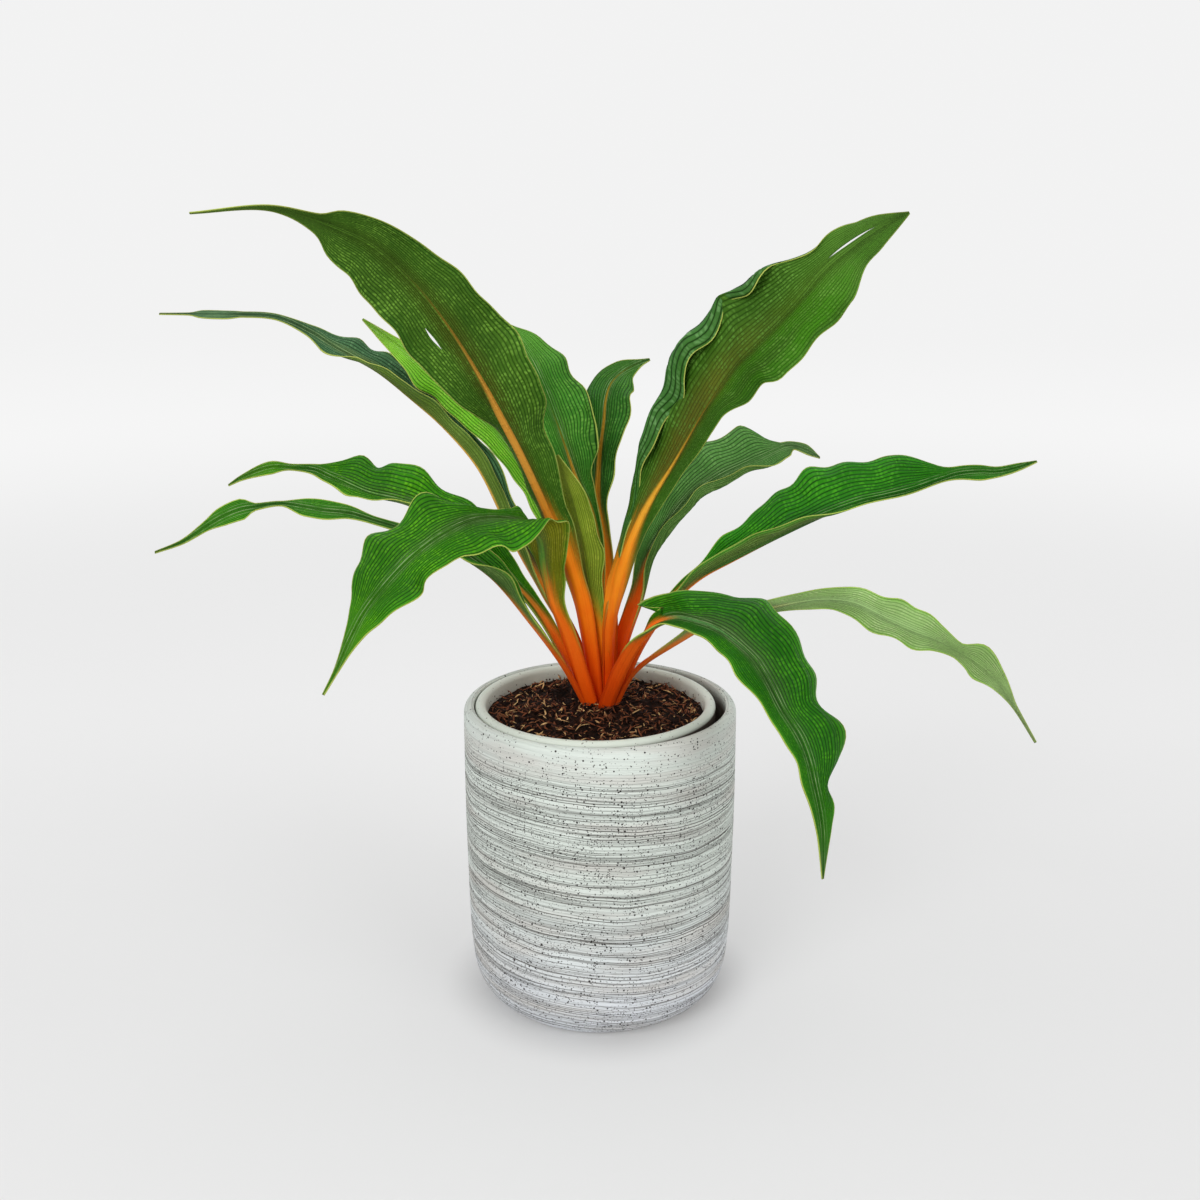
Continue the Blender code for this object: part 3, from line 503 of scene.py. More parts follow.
def effect(name, inputs, outputs):
    """A shader node group with named sockets, tuples being colours, with its wiring and its inputs."""
    group = bpy.data.node_groups.new(name, "ShaderNodeTree")
    for label, default in inputs.items():
        kind = "NodeSocketColor" if isinstance(default, tuple) else "NodeSocketFloat"
        group.interface.new_socket(name=label, in_out="INPUT", socket_type=kind).default_value = default
    for label in outputs:
        kind = "NodeSocketColor" if label == "Color" else "NodeSocketFloat"
        group.interface.new_socket(name=label, in_out="OUTPUT", socket_type=kind)
    nodes = Nodes(group)
    given = {socket.name: Value(nodes, socket) for socket in group.nodes.new("NodeGroupInput").outputs}
    return group, nodes, given


def new_material(name):
    """A material with its wiring and its ready-made shader."""
    material = bpy.data.materials.new(name)
    material.use_nodes = True
    return material, Nodes(material.node_tree), material.node_tree.nodes["Principled BSDF"].inputs


def finish_material(name, group, values, relief, gloss=0.5):
    """A material whose colour, roughness and relief come from one effect group."""
    material, nodes, shader = new_material(name)
    skin = nodes.add("Group", values, node_tree=group).outputs
    bump = nodes.add("Bump", {"Distance": relief, "Strength": 1.0, "Height": skin["Height"]})
    nodes.wire(skin["Color"], shader["Base Color"])
    nodes.wire(skin["Roughness"], shader["Roughness"])
    nodes.wire(bump.outputs["Normal"], shader["Normal"])
    shader["Specular IOR Level"].default_value = gloss
    return material


# ---------------------------------------------------------------- the cover pot

COVER_TOP_R = 68.0 * MM
COVER_HEIGHT = 154.5 * MM
COVER_WALL = 5.1 * MM
COVER_FLOOR = 8.0 * MM
COVER_FOOT_R = 52.0 * MM
COVER_CORNER = 9.0 * MM     # radius of the inner bottom corner
COVER_STEPS = 112
LIP_IN_R = 1.2 * MM         # the lip's rounding on the inside
LIP_OUT_R = 4 * MM          # and on the outside
WALL_PITCH = 0.21 * MM      # spacing of the rings on the combed wall
CUT_DEPTH = 0.45 * MM
UNEVEN_DEPTH = 0.12 * MM
COMB_BANDS = 15             # levels where the comb's strokes bunch together
STRONG_STROKES = 90
COMB_STROKES = 300
BUNCHED_SHARE = 0.35        # of the strokes, how many keep to a band
LEVEL_SHARE = 0.2           # of the strokes, how many run nearly level
# each size of iron speck: cells in a metre, reach within a cell, share of the cells, and darkness
SPECK_SIZES = ((640.0, 0.29, 0.55, 1.0), (360.0, 0.18, 0.20, 1.0), (1150.0, 0.34, 0.58, 0.9))
# each set of drawn comb lines: pitch and width in millimetres, tilt, and the faintest line's strength
LINE_SETS = ((2.3, 0.23, 0.055, 0.5), (3.1, 0.26, 0.045, 0.55), (4.3, 0.28, 0.06, 0.6),
             (1.5, 0.19, 0.05, 0.3), (1.1, 0.17, 0.058, 0.2), (5.9, 0.32, 0.035, 0.7))


def comb_depth(points):
    """How deep the comb has cut at each point of the wall, 0 to 1, from many separate strokes."""
    rng = random.Random(11)
    angle = np.arctan2(points[:, 0], -points[:, 1])      # 0 faces the front
    height = points[:, 2]
    depth = np.zeros(len(points))
    bands = [rng.uniform(8.0, 132.0) * MM for _ in range(COMB_BANDS)]
    for number in range(COMB_STROKES):
        start = rng.uniform(-math.pi, math.pi)
        reach = rng.uniform(0.7, 3.1)
        bunched = rng.random() < BUNCHED_SHARE
        level = rng.gauss(rng.choice(bands), 5.0 * MM) if bunched else rng.uniform(3.0, 146.0) * MM
        tilt = rng.gauss(-3.4, 0.8) * MM                  # change of height for each radian to the right
        if rng.random() < LEVEL_SHARE:
            tilt = rng.gauss(-1.4, 0.8) * MM
        width = rng.uniform(0.2, 0.34) * MM
        strength = rng.uniform(0.45, 1.0) if number < STRONG_STROKES else rng.uniform(0.12, 0.4)
        sway = rng.uniform(0.1, 0.5) * MM
        sway_at = rng.uniform(0, 6.28)
        turn = (angle - start + math.pi) % TURN - math.pi
        near = np.abs(turn) < reach
        line = level + tilt * turn[near] + sway * np.sin(2.3 * turn[near] + sway_at)
        fade = 1.0 - ease(np.abs(turn[near]) / reach, 0.6, 1.0)
        fade *= 0.75 + 0.25 * np.sin(9.0 * turn[near] + 5.0 * sway_at)
        stroke = strength * fade * np.exp(-(((height[near] - line) / width) ** 2))
        depth[near] = np.maximum(depth[near], stroke) + 0.25 * np.minimum(depth[near], stroke)
    return np.clip(depth, 0.0, 1.0)


def cover_pot():
    """The outer pot, lathed, with the comb's cuts sunk into its wall."""
    inner = COVER_TOP_R - COVER_WALL
    profile = [(0.0, COVER_FLOOR), (inner - COVER_CORNER, COVER_FLOOR)]
    profile += arc(inner - COVER_CORNER, COVER_FLOOR + COVER_CORNER, COVER_CORNER, -75, 0, 6)
    profile += [(inner, height * MM) for height in (50, 100, 130, 146)]
    profile += arc(inner + LIP_IN_R, COVER_HEIGHT - LIP_IN_R, LIP_IN_R, 180, 90, 5)
    profile += arc(COVER_TOP_R - LIP_OUT_R, COVER_HEIGHT - LIP_OUT_R, LIP_OUT_R, 90, 10, 10)
    wall = [(COVER_TOP_R, COVER_HEIGHT - LIP_OUT_R), (COVER_TOP_R + 0.4 * MM, 0.112)]
    wall += [(COVER_TOP_R - 0.1 * MM, 0.066)]
    wall += [(r * MM, h * MM) for r, h in ((67.3, 38), (66.4, 24), (65.2, 16), (63.3, 10), (60.8, 5.8),
                                           (57.8, 2.8), (54.8, 0.9), (52, 0))]
    piece = turned("combed_cover_pot", profile + flowing(wall, WALL_PITCH) + [(0.0, 0.0)], COVER_STEPS)
    points = points_of(piece)
    height = points[:, 2].copy()
    radius = np.hypot(points[:, 0], points[:, 1])
    foot = np.maximum(14 * MM - height, 0.0)
    inmost = inner + 0.35 * (COVER_WALL / 2) - 0.8 * foot     # the outer wall turns in at the foot
    outside = (radius > COVER_FOOT_R + MM) & (radius > inmost) & (height > 0.2 * MM)
    cut = np.zeros(len(points))
    cut[outside] = comb_depth(points[outside])
    edge = ease(height, 1.0 * MM, 4 * MM) * (1 - 0.75 * ease(height, 132 * MM, 148 * MM))
    cut *= edge
    inward = CUT_DEPTH * cut
    slow = np.array([noise.noise(Vector(p) * 22.0) for p in points[outside]])
    inward[outside] += UNEVEN_DEPTH * (1 + slow) * edge[outside]
    points[:, :2] *= ((radius - inward) / np.maximum(radius, 1e-6))[:, None]
    move_points(piece, points)
    mark(piece, "comb", cut)
    # the inner wall below the lip, which the stoneware paints brown as shade in the gap beside the liner
    hollow = (radius < inner + 0.5 * MM) & (height > 14 * MM)
    mark(piece, "inside", hollow * (1 - ease(height, 146 * MM, 153.5 * MM)))
    piece.data.materials.append(stoneware())
    return piece


def speckle_effect():
    """Iron specks of several sizes: a dark mask, 0 to 1, over Object coordinates."""
    group, nodes, given = effect("iron_specks", {"Amount": 1.0}, ("Mask",))
    here = nodes.place()
    crowd = nodes.ramp(nodes.noise(here, 60.0, 3.0, 0.6), 0.3, 0.7, 0.5, 1.5)
    masks = []
    for scale, reach, share, depth in SPECK_SIZES:
        spots = nodes.cells(here, scale)
        first, second, _ = nodes.chances(spots)
        size = reach * (0.35 + second * 0.65)
        spot = nodes.ramp(spots.outputs["Distance"], size + 0.05, size)
        kept = nodes.math("LESS_THAN", first, share * crowd * given["Amount"])
        masks.append(spot * kept * depth)
    nodes.give(Mask=nodes.most(*masks))
    return group


def comb_line_effect():
    """Thin comb lines at uneven levels, each reaching part of the way round the pot: a mask, 0 to 1."""
    group, nodes, given = effect(
        "comb_lines", {"Pitch": 3.0, "Width": 0.15, "Tilt": 0.05, "Seed": 0.0, "Least": 0.2}, ("Mask",))
    here = nodes.place()
    x, y, z = nodes.axes()
    level = z + x * given["Tilt"] + nodes.noise(here, 11.0, 3.0, 0.55) * 0.008
    level = level / (given["Pitch"] * MM)
    row = nodes.triple(nodes.math("FLOOR", level), given["Seed"], 0.0)
    first, second, third = nodes.chances(nodes.add("TexWhiteNoise", {"Vector": row}, noise_dimensions="2D"))
    away = abs(nodes.math("FRACT", level) - (0.2 + first * 0.6))
    width = given["Width"] / given["Pitch"]
    line = nodes.ramp(away, width, width * 0.35)
    strength = given["Least"] + second ** 2.0 * (1.0 - given["Least"])
    facing = nodes.math("ARCTAN2", x, y) + third * TURN
    reach = nodes.math("COSINE", facing) + nodes.noise(here, 30.0, 2.0) * 0.8
    nodes.give(Mask=line * strength * nodes.ramp(reach, 0.0, 0.5))
    return group


def stoneware():
    """Matte pale stoneware, thin dark lines where the comb cut, with iron specks."""
    group, nodes, given = effect("combed_stoneware", {
        "Clay": tone(211, 219, 210), "Pale": tone(220, 223, 230), "Warm": tone(202, 198, 192),
        "Cut": tone(72, 68, 62), "Speck": tone(40, 34, 32), "Stain And Shade": tone(84, 66, 54), "Specks": 1.0}, SKIN)
    here = nodes.place()
    x, y, z = nodes.axes()
    cloud = nodes.noise(here, 26.0, 4.0)
    # paler and bluer towards the foot: painted bounce light from the white floor, plus a cloud of random
    # paler tone all over
    clay = nodes.blend(nodes.ramp(z, 0.09, 0.005) * 0.75 + cloud * 0.25, given["Clay"], given["Pale"])
    # the comb's level at every point: a little tilted, wandering up and down
    level = z + x * 0.055 + nodes.noise(here, 9.0, 2.0) * 0.010

    def round_the_pot(spin, pitch, seed):
        """A place that changes slowly round the pot and fast up its wall."""
        return nodes.triple(x * spin, y * spin, level * pitch + seed)

    streak = nodes.noise(round_the_pot(10.0, 900.0, 0.0), 1.0, 3.0, 0.6)
    fine = nodes.noise(round_the_pot(14.0, 1900.0, 5.0), 1.0, 2.0, 0.6)
    sets = [nodes.mask(COMB_LINES, Pitch=pitch, Width=width, Tilt=tilt, Seed=10.0 * pitch, Least=least)
            for pitch, width, tilt, least in LINE_SETS]
    lines = nodes.most(*sets) * nodes.ramp(z, 0.150, 0.128, 0.15, 1.0)
    dark = nodes.most(lines * 0.92, nodes.attribute("comb") * 0.36)
    dark = nodes.math("ADD", dark, nodes.ramp(streak, 0.45, 0.8, 0.0, 0.14), clamp=True)
    dark = nodes.math("ADD", dark, nodes.ramp(fine, 0.5, 0.85, 0.0, 0.12), clamp=True)
    warmth = nodes.ramp(nodes.noise(nodes.place((16.0, 16.0, 110.0)), 1.0, 3.0), 0.42, 0.7, 0.0, 0.65)
    colour = nodes.blend(dark, nodes.blend(warmth, clay, given["Warm"]), given["Cut"])
    specks = nodes.mask(SPECKS, Amount=given["Specks"] * nodes.ramp(z, 0.153, 0.125, 0.35, 1.0))
    colour = nodes.blend(specks, colour, given["Speck"])
    # the inner wall painted brown: painted shade in the narrow gap between the two pots
    inside = nodes.attribute("inside") * nodes.ramp(nodes.noise(here, 70.0, 4.0), 0.2, 0.6, 0.75, 1.0)
    nodes.give(Color=nodes.blend(inside, colour, given["Stain And Shade"]), Roughness=0.72 + dark * 0.18,
               Height=nodes.noise(here, 900.0, 3.0) * 0.25 - specks * 0.3 - lines * 0.8)
    return finish_material("combed_stoneware", group, {}, relief=0.25 * MM, gloss=0.3)


# ---------------------------------------------------------------- the liner pot

LINER_RIM_R = 60.0 * MM
LINER_TOP = 155.5 * MM
LINER_RIM_WIDTH = 5.3 * MM
LINER_FOOT_R = 47.0 * MM
LINER_FLOOR = 5.0 * MM
LINER_SHIFT = Vector((-2.3, -0.7, 0.0)) * MM
LINER_STEPS = 160
GAP = 0.3 * MM
SOIL_EDGE = 148.0 * MM


def from_liner(x, y):
    """How far a place is from the liner's axis."""
    return math.hypot(x - LINER_SHIFT.x, y - LINER_SHIFT.y)


def liner_inner_radius(height):
    low_r, high_r = LINER_FOOT_R - LINER_RIM_WIDTH, LINER_RIM_R - LINER_RIM_WIDTH
    low_z, high_z = COVER_FLOOR + GAP, LINER_TOP - 3 * MM
    return low_r + (high_r - low_r) * (height - low_z) / (high_z - low_z)


def liner_pot():
    """The inner pot, lathed, with a full rim that is thicker than its wall."""
    roll = LINER_RIM_WIDTH / 2
    floor = COVER_FLOOR + GAP
    inside = floor + LINER_FLOOR
    profile = [(0.0, inside), (liner_inner_radius(inside), inside)]
    wall = [(liner_inner_radius(h * MM), h * MM) for h in (60, 120, 140)]
    wall += arc(LINER_RIM_R - roll, LINER_TOP - roll, roll, 180, 0, 13)
    wall += [(LINER_RIM_R, LINER_TOP - 8 * MM), (LINER_RIM_R - 0.5 * MM, LINER_TOP - 9.6 * MM)]
    wall += [(LINER_RIM_R - 1.6 * MM, LINER_TOP - 10.5 * MM)]
    profile += wall[:2] + evenly(wall[2:], MM)
    profile += [(LINER_FOOT_R + 1.5 * MM, floor + 3 * MM), (LINER_FOOT_R, floor), (0.0, floor)]
    piece = turned("smooth_liner_pot", profile, LINER_STEPS)
    points = points_of(piece)
    radius = np.hypot(points[:, 0], points[:, 1])
    uneven = np.array([noise.noise(Vector(p) * 30.0) for p in points])
    points[:, :2] *= (1 + UNEVEN_DEPTH * (uneven - 1) / np.maximum(radius, MM))[:, None]
    points += np.array(LINER_SHIFT)
    move_points(piece, points)
    piece.data.materials.append(pale_ceramic())
    return piece


def pale_ceramic():
    """Smooth pale ceramic, dusty and stained by the mix on its inner wall."""
    group, nodes, given = effect("rim_ceramic", {
        "Clay": tone(212, 219, 208), "Dull": tone(196, 202, 190), "Stain And Shade": tone(134, 112, 92),
        "Crumb": tone(64, 44, 32), "Speck": tone(92, 80, 70), "Shade": tone(70, 58, 50)}, SKIN)
    here = nodes.place()
    x, y, z = nodes.axes()
    x = x - LINER_SHIFT.x
    y = y - LINER_SHIFT.y
    radius = nodes.math("SQRT", x * x + y * y)
    inside = nodes.ramp(radius, LINER_RIM_R - 3.2 * MM, LINER_RIM_R - 4.6 * MM)
    inside = inside * nodes.ramp(z, LINER_TOP - 1.0 * MM, SOIL_EDGE - 1.0 * MM)
    dust = inside * nodes.ramp(nodes.noise(here, 90.0, 5.0, 0.6), 0.30, 0.70, 0.1, 1.0)
    dusty_side = nodes.ramp(x, -40 * MM, 40 * MM, 0.45, 1.2)      # the mix was poured in from the right
    dirt = nodes.math("MULTIPLY", dust, dusty_side, clamp=True)
    clay = nodes.blend(nodes.noise(here, 40.0, 3.0) * 0.45, given["Clay"], given["Dull"])
    # here the colour is the real stain of the mix on the liner's inner wall
    colour = nodes.blend(dirt * 0.75, clay, given["Stain And Shade"])
    bits = nodes.cells(here, 520.0)
    kept = nodes.math("LESS_THAN", nodes.chances(bits)[0], inside * 0.28)
    crumb = nodes.ramp(bits.outputs["Distance"], 0.32, 0.22) * kept
    colour = nodes.blend(crumb, colour, given["Crumb"])
    outside = nodes.ramp(radius, LINER_RIM_R - 2.5 * MM, LINER_RIM_R - 1.0 * MM)
    outside = outside * nodes.ramp(z, LINER_TOP - 2.2 * MM, LINER_TOP - 3.4 * MM)
    colour = nodes.blend(outside, colour, given["Shade"])
    specks = nodes.mask(SPECKS, Amount=0.12)
    nodes.give(Color=nodes.blend(specks * 0.8, colour, given["Speck"]), Roughness=0.5 + dirt * 0.3,
               Height=nodes.noise(here, 300.0, 3.0) * 0.4 + crumb)
    return finish_material("rim_ceramic", group, {}, relief=0.15 * MM)


# ---------------------------------------------------------------- the potting mix

SOIL_MOUND = 151.5 * MM
SOIL_STEPS = 170
CROWN_HEAP = 1.5 * MM
CROWN_HEAP_R = 13 * MM
DIP_DEPTH = 6.0 * MM
CROWN_CENTRE = Vector((2.0, 6.0, 0.0)) * MM
DIP_CENTRE = Vector((-16.0, 20.0)) * MM
DIP_R = 12.0 * MM
HUSKS = 1900
CRUMBS = 300
# each pattern of husk: its length, width, sideways bow and lift in millimetres
HUSK_SHAPES = {"husk_long": (5.8, 0.85, 0.5, 0.3), "husk_bent": (5.0, 0.95, -1.1, 0.5),
               "husk_short": (3.6, 1.1, 0.2, 0.2)}
# each pattern of crumb: its radius in millimetres, and a number that sets its lumps apart
CRUMB_SHAPES = {"crumb_a": (0.9, 1.0), "crumb_b": (0.6, 4.0)}


def from_crown(x, y):
    """How far a place is from the middle of the crown."""
    return math.hypot(x - CROWN_CENTRE.x, y - CROWN_CENTRE.y)


def from_dip(x, y):
    """How far a place is from the middle of the dip, 1 being its rim."""
    return math.hypot(x - DIP_CENTRE.x, y - DIP_CENTRE.y) / DIP_R


def soil_height(x, y):
    """Height of the mix's surface, with its mound, its dip and its lumps."""
    radius = from_liner(x, y)
    height = SOIL_MOUND - (SOIL_MOUND - SOIL_EDGE) * float(ease(radius, 22 * MM, 48 * MM))
    height += CROWN_HEAP * math.exp(-(from_crown(x, y) / CROWN_HEAP_R) ** 2)
    height -= DIP_DEPTH * math.exp(-(from_dip(x, y) ** 2) * 1.6)
    lumps = noise.noise(Vector((x, y, 0.3)) * 90.0) * 2.4 * MM
    lumps += noise.noise(Vector((x, y, 0.9)) * 420.0) * 0.9 * MM
    return height + lumps * (1 - 0.5 * float(ease(radius, 46 * MM, 53 * MM)))


def potting_mix():
    """The mix that fills the liner, its lathed top pushed up and down into lumps."""
    bottom = COVER_FLOOR + GAP + LINER_FLOOR + GAP
    top_r = liner_inner_radius(SOIL_EDGE) - 0.3 * GAP
    profile = evenly([(0.0, SOIL_MOUND), (24 * MM, SOIL_MOUND), (top_r, SOIL_EDGE)], 0.9 * MM)
    profile += [(liner_inner_radius(SOIL_EDGE - 5 * MM) - GAP, SOIL_EDGE - 5 * MM)]
    profile += [(liner_inner_radius(bottom) - 1.6 * GAP, bottom), (0.0, bottom)]
    piece = turned("husky_potting_mix", profile, SOIL_STEPS)
    points = points_of(piece) + np.array(LINER_SHIFT)
    for i in np.nonzero(points[:, 2] > SOIL_EDGE - MM)[0]:
        points[i, 2] = soil_height(points[i, 0], points[i, 1])
    move_points(piece, points)
    piece.data.materials.append(peat())
    return piece


def peat():
    group, nodes, given = effect(
        "dark_peat", {"Dark": tone(12, 7, 5), "Brown": tone(40, 22, 14), "Bit": tone(84, 50, 32)}, SKIN)
    here = nodes.place()
    lumps = nodes.noise(here, 420.0, 6.0, 0.7)
    colour = nodes.blend(nodes.ramp(lumps, 0.38, 0.68), given["Dark"], given["Brown"])
    bits = nodes.ramp(nodes.cells(here, 900.0).outputs["Distance"], 0.28, 0.16)
    colour = nodes.blend(bits * 0.5, colour, given["Bit"])
    nodes.give(Color=colour, Roughness=0.82 + lumps * 0.15, Height=lumps)
    return finish_material("dark_peat", group, {}, relief=1.2 * MM, gloss=0.1)


def husk_shape(name, length, width, bow, lift):
    """One thin husk: a slim bar tapered to both ends, bowed sideways and lifted in the middle."""
    fresh()
    bpy.ops.mesh.primitive_cylinder_add(vertices=5, radius=width / 2, depth=length, end_fill_type="TRIFAN",
                                        rotation=(0.0, math.pi / 2, 0.0))
    piece = named(name)
    edit_mode()
    for x in (-0.25, 0.0, 0.25):
        bpy.ops.mesh.select_all(action="SELECT")
        bpy.ops.mesh.bisect(plane_co=(x * length, 0, 0), plane_no=(1, 0, 0))
    object_mode()
    points = points_of(piece)
    along = points[:, 0] / (length / 2)
    slim = 1.0 - 0.86 * np.abs(along) ** 2.2
    points[:, 1] = points[:, 1] * slim + bow * (1 - along ** 2)
    points[:, 2] = points[:, 2] * slim * 0.55 + lift * (1 - along ** 2)
    move_points(piece, points)
    bpy.ops.object.shade_smooth()
    return piece


def crumb_shape(name, size, seed):
    """One crumb: a small rock-like lump."""
    fresh()
    bpy.ops.mesh.primitive_ico_sphere_add(subdivisions=1, radius=size)
    piece = named(name)
    edit_mode()
    bpy.ops.mesh.bevel(offset=size * 0.25, segments=1, affect="VERTICES")
    object_mode()
    points = points_of(piece)
    lumps = [1 + 0.45 * noise.noise(Vector(p) / size + Vector((seed, 0, 0))) for p in points]
    move_points(piece, points * np.array(lumps)[:, None])
    return piece


def scattered(name, patterns, count, seed, lay, highest, material):
    """Copies of the patterns strewn over the mix, joined into one piece, each with its own tone.

    They tip up by about lay degrees and lie up to highest above the mix.
    """
    rng = random.Random(seed)
    copies = []
    while len(copies) < count:
        x = rng.uniform(-55, 55) * MM
        y = rng.uniform(-55, 55) * MM
        if from_liner(x, y) > liner_inner_radius(SOIL_EDGE) - 1.8 * MM or from_crown(x, y) < 9 * MM:
            continue
        # the dip is left mostly bare, so its dark peat paints the shade that falls there
        if from_dip(x, y) < 0.8 and rng.random() < 0.75:
            continue
        pattern = rng.choice(patterns)
        piece = pattern.copy()
        piece.data = pattern.data.copy()
        bpy.context.collection.objects.link(piece)
        size = rng.uniform(0.5, 1.25)
        pitch = Matrix.Rotation(math.radians(rng.gauss(0, lay)), 4, "Y")
        roll = Matrix.Rotation(rng.uniform(-0.6, 0.6), 4, "X")
        turn = Matrix.Rotation(rng.uniform(0, 6.28), 4, "Z") @ pitch @ roll
        place = Matrix.Translation((x, y, soil_height(x, y) + rng.random() ** 1.5 * highest))
        piece.data.transform(place @ turn @ Matrix.Scale(size, 4))
        # husks in and near the dip get darker tones: painted shade
        pale = rng.random() ** 1.7 * (0.35 if from_dip(x, y) < 1.2 else 1.0)
        mark(piece, "tone", [pale] * len(piece.data.vertices))
        copies.append(piece)
    fresh()
    for piece in copies:
        piece.select_set(True)
    bpy.context.view_layer.objects.active = copies[0]
    bpy.ops.object.join()
    joined = bpy.context.object
    joined.name = joined.data.name = name
    for pattern in patterns:
        bpy.data.objects.remove(pattern)
    joined.data.materials.clear()
    joined.data.materials.append(material)
    return joined


def husk_material():
    group, nodes, given = effect("coir_husk", {
        "Dark": tone(32, 15, 10), "Middle": tone(122, 70, 44), "Straw": tone(236, 196, 136)}, SKIN)
    fibre = nodes.noise(nodes.place(), 1400.0, 4.0, 0.6)
    shade = nodes.attribute("tone") + (fibre - 0.5) * 0.5
    colour = nodes.blend(nodes.ramp(shade, 0.08, 0.5), given["Dark"], given["Middle"])
    colour = nodes.blend(nodes.ramp(shade, 0.68, 1.05), colour, given["Straw"])
    nodes.give(Color=colour, Roughness=0.6 + fibre * 0.3, Height=fibre)
    return finish_material("coir_husk", group, {}, relief=0.12 * MM, gloss=0.15)


# ---------------------------------------------------------------- the leaves

LEAF_STEP = 2.0            # millimetres between the rows of a leaf
HALF_COLUMNS = 22          # columns on each half of each face
RING = 4 * HALF_COLUMNS + 2
SHARES = np.linspace(0.0, 1.0, HALF_COLUMNS + 1)      # of the way from midrib to margin
BLADE_THICKNESS = 0.55
MARGIN_THICKNESS = 0.35
RIB_AT_TIP = 0.6
WAVE_LENGTH = 46.0         # the blade's slow waves, then the margin's scallops, ruffles and blisters
WAVE_HEIGHT = 2.0
SCALLOPS = ((33.0, 0.045), (18.3, 0.024))
RUFFLES = ((27.0, 0.9), (15.3, 0.3))
ONSET_LENGTH = 29.0
BLISTER_LENGTH = 24.0
HOLLOW = 22.0              # degrees that a half bows up from midrib to margin
RIBBING = 0.22
BLISTERS = 0.2
STALK_HALF = 4.5           # half width up to which a section is stalk
BLADE_HALF = 12.5          # and from which it is blade


def wave(run, length, start):
    """A wave along the leaf."""
    return math.sin(TURN * run / length + start)


def share_of(value, low, high):
    """0 at low, 1 at high, straight between."""
    return np.clip((value - low) / (high - low), 0.0, 1.0)


def smooth_rows(rows):
    """Even samples, LEAF_STEP apart, of a smooth curve through every row of a leaf."""
    table = np.array(rows, float)
    knots = knots_of(table[:, :3])
    slopes = np.diff(table, axis=0) / np.diff(knots)[:, None]
    tangents = np.gradient(table, knots, axis=0)
    before, after = slopes[:-1, 3:], slopes[1:, 3:]
    limit = 2.0 * np.minimum(np.abs(before), np.abs(after))
    calm = np.clip(tangents[1:-1, 3:], -limit, limit)
    tangents[1:-1, 3:] = np.where(before * after > 0.0, calm, 0.0)
    where = np.linspace(0.0, knots[-1], 800)
    span = np.clip(np.searchsorted(knots, where, side="right") - 1, 0, len(knots) - 2)
    width = (knots[span + 1] - knots[span])[:, None]
    fine = on_curve(table, tangents, span, width, (where - knots[span])[:, None] / width)
    run = np.concatenate([[0.0], np.cumsum(np.linalg.norm(np.diff(fine[:, :3], axis=0), axis=1))])
    even = np.linspace(0.0, run[-1], max(40, round(run[-1] / LEAF_STEP)))
    return np.stack([np.interp(even, run, column) for column in fine.T], axis=1), even


def directions(points, heading):
    """The path's left, upper-face and forward directions at every sample."""
    forward = np.gradient(points, axis=0)
    forward /= np.linalg.norm(forward, axis=1)[:, None]
    angle = math.radians(heading)
    side = np.array([-math.sin(angle), math.cos(angle), 0.0])
    left = side - forward * (forward @ side)[:, None]
    left /= np.linalg.norm(left, axis=1)[:, None]
    face = np.cross(forward, left)
    return left, face, np.cross(left, face)


def half_section(row, out_way, face, sign, curl, grown, onset, ruffle, rib, run, phase):
    """Upper and lower points of one half of a leaf's section, from the midrib out to the margin."""
    half, fold = (row[3], row[6]) if sign > 0 else (row[4], row[7])
    share = SHARES
    blade = share_of(half, STALK_HALF, BLADE_HALF)
    side = phase + 1.9 * sign
    onset += 0.05 * ruffle * wave(run, ONSET_LENGTH, side)
    (slow, deep), (quick, slight) = SCALLOPS
    scallop = deep * wave(run, slow, side) + slight * wave(run, quick, 2.1 * side)
    half *= grown * (1.0 + share_of(half, 2.5, 7.5) * ruffle * scallop)
    bend = 0.3 - 0.16 * min(abs(curl) / 180.0, 1.0)
    curled = curl * ease(share, onset, min(onset + bend, 1.0))
    slope = np.radians(fold + HOLLOW * blade * (0.5 - share) + curled)
    step = half / HALF_COLUMNS
    middle = (slope[1:] + slope[:-1]) / 2
    out = np.concatenate([[0.0], np.cumsum(np.cos(middle))]) * step
    up = np.concatenate([[0.0], np.cumsum(np.sin(middle))]) * step
    (slow, deep), (quick, slight) = RUFFLES
    small = deep * wave(run, slow, 2.3 * side) + slight * wave(run, quick, side)
    lift = blade * (WAVE_HEIGHT * wave(run, WAVE_LENGTH, phase) * share**2 + ruffle * small * share**2.5)
    lift += RIBBING * blade * np.cos(TURN * share * 4.5) * ease(share, 0.08, 0.25)
    bumps = np.sin(TURN * (run / BLISTER_LENGTH + 0.8 * share) + side) * ease(share, 0.2, 0.6)
    lift += BLISTERS * blade * ruffle * bumps
    lift -= 0.35 * blade * np.exp(-(share * half / 1.2) ** 2)
    offset = np.outer(out, out_way) + np.outer(up, face)
    normal = np.outer(np.cos(slope), face) - np.outer(np.sin(slope), out_way)
    upper = row[:3] + offset + normal * lift[:, None]
    stalk = np.maximum(rib * np.sqrt(np.maximum(1 - 0.9 * share**2, 0.0)), 0.5)
    keel = rib * np.exp(-(share * half / (0.8 * rib + 0.3)) ** 2)
    thin = MARGIN_THICKNESS + (BLADE_THICKNESS - MARGIN_THICKNESS) * (1 - share)
    thick = np.minimum(stalk * (1 - blade) + (thin + keel) * blade, 1.4 * half)
    return upper, upper - normal * thick[:, None]


def curl_rows(name):
    """A leaf's curl rows at full length, with the flat crown and the flat tip."""
    rows = [row + (1, 1)[:7 - len(row)] for row in CURLS.get(name, PLAIN_CURL)]
    start = [FLAT_START] if rows[0][0] > 0 else []
    return np.array(start + rows + [FLAT_END], float)


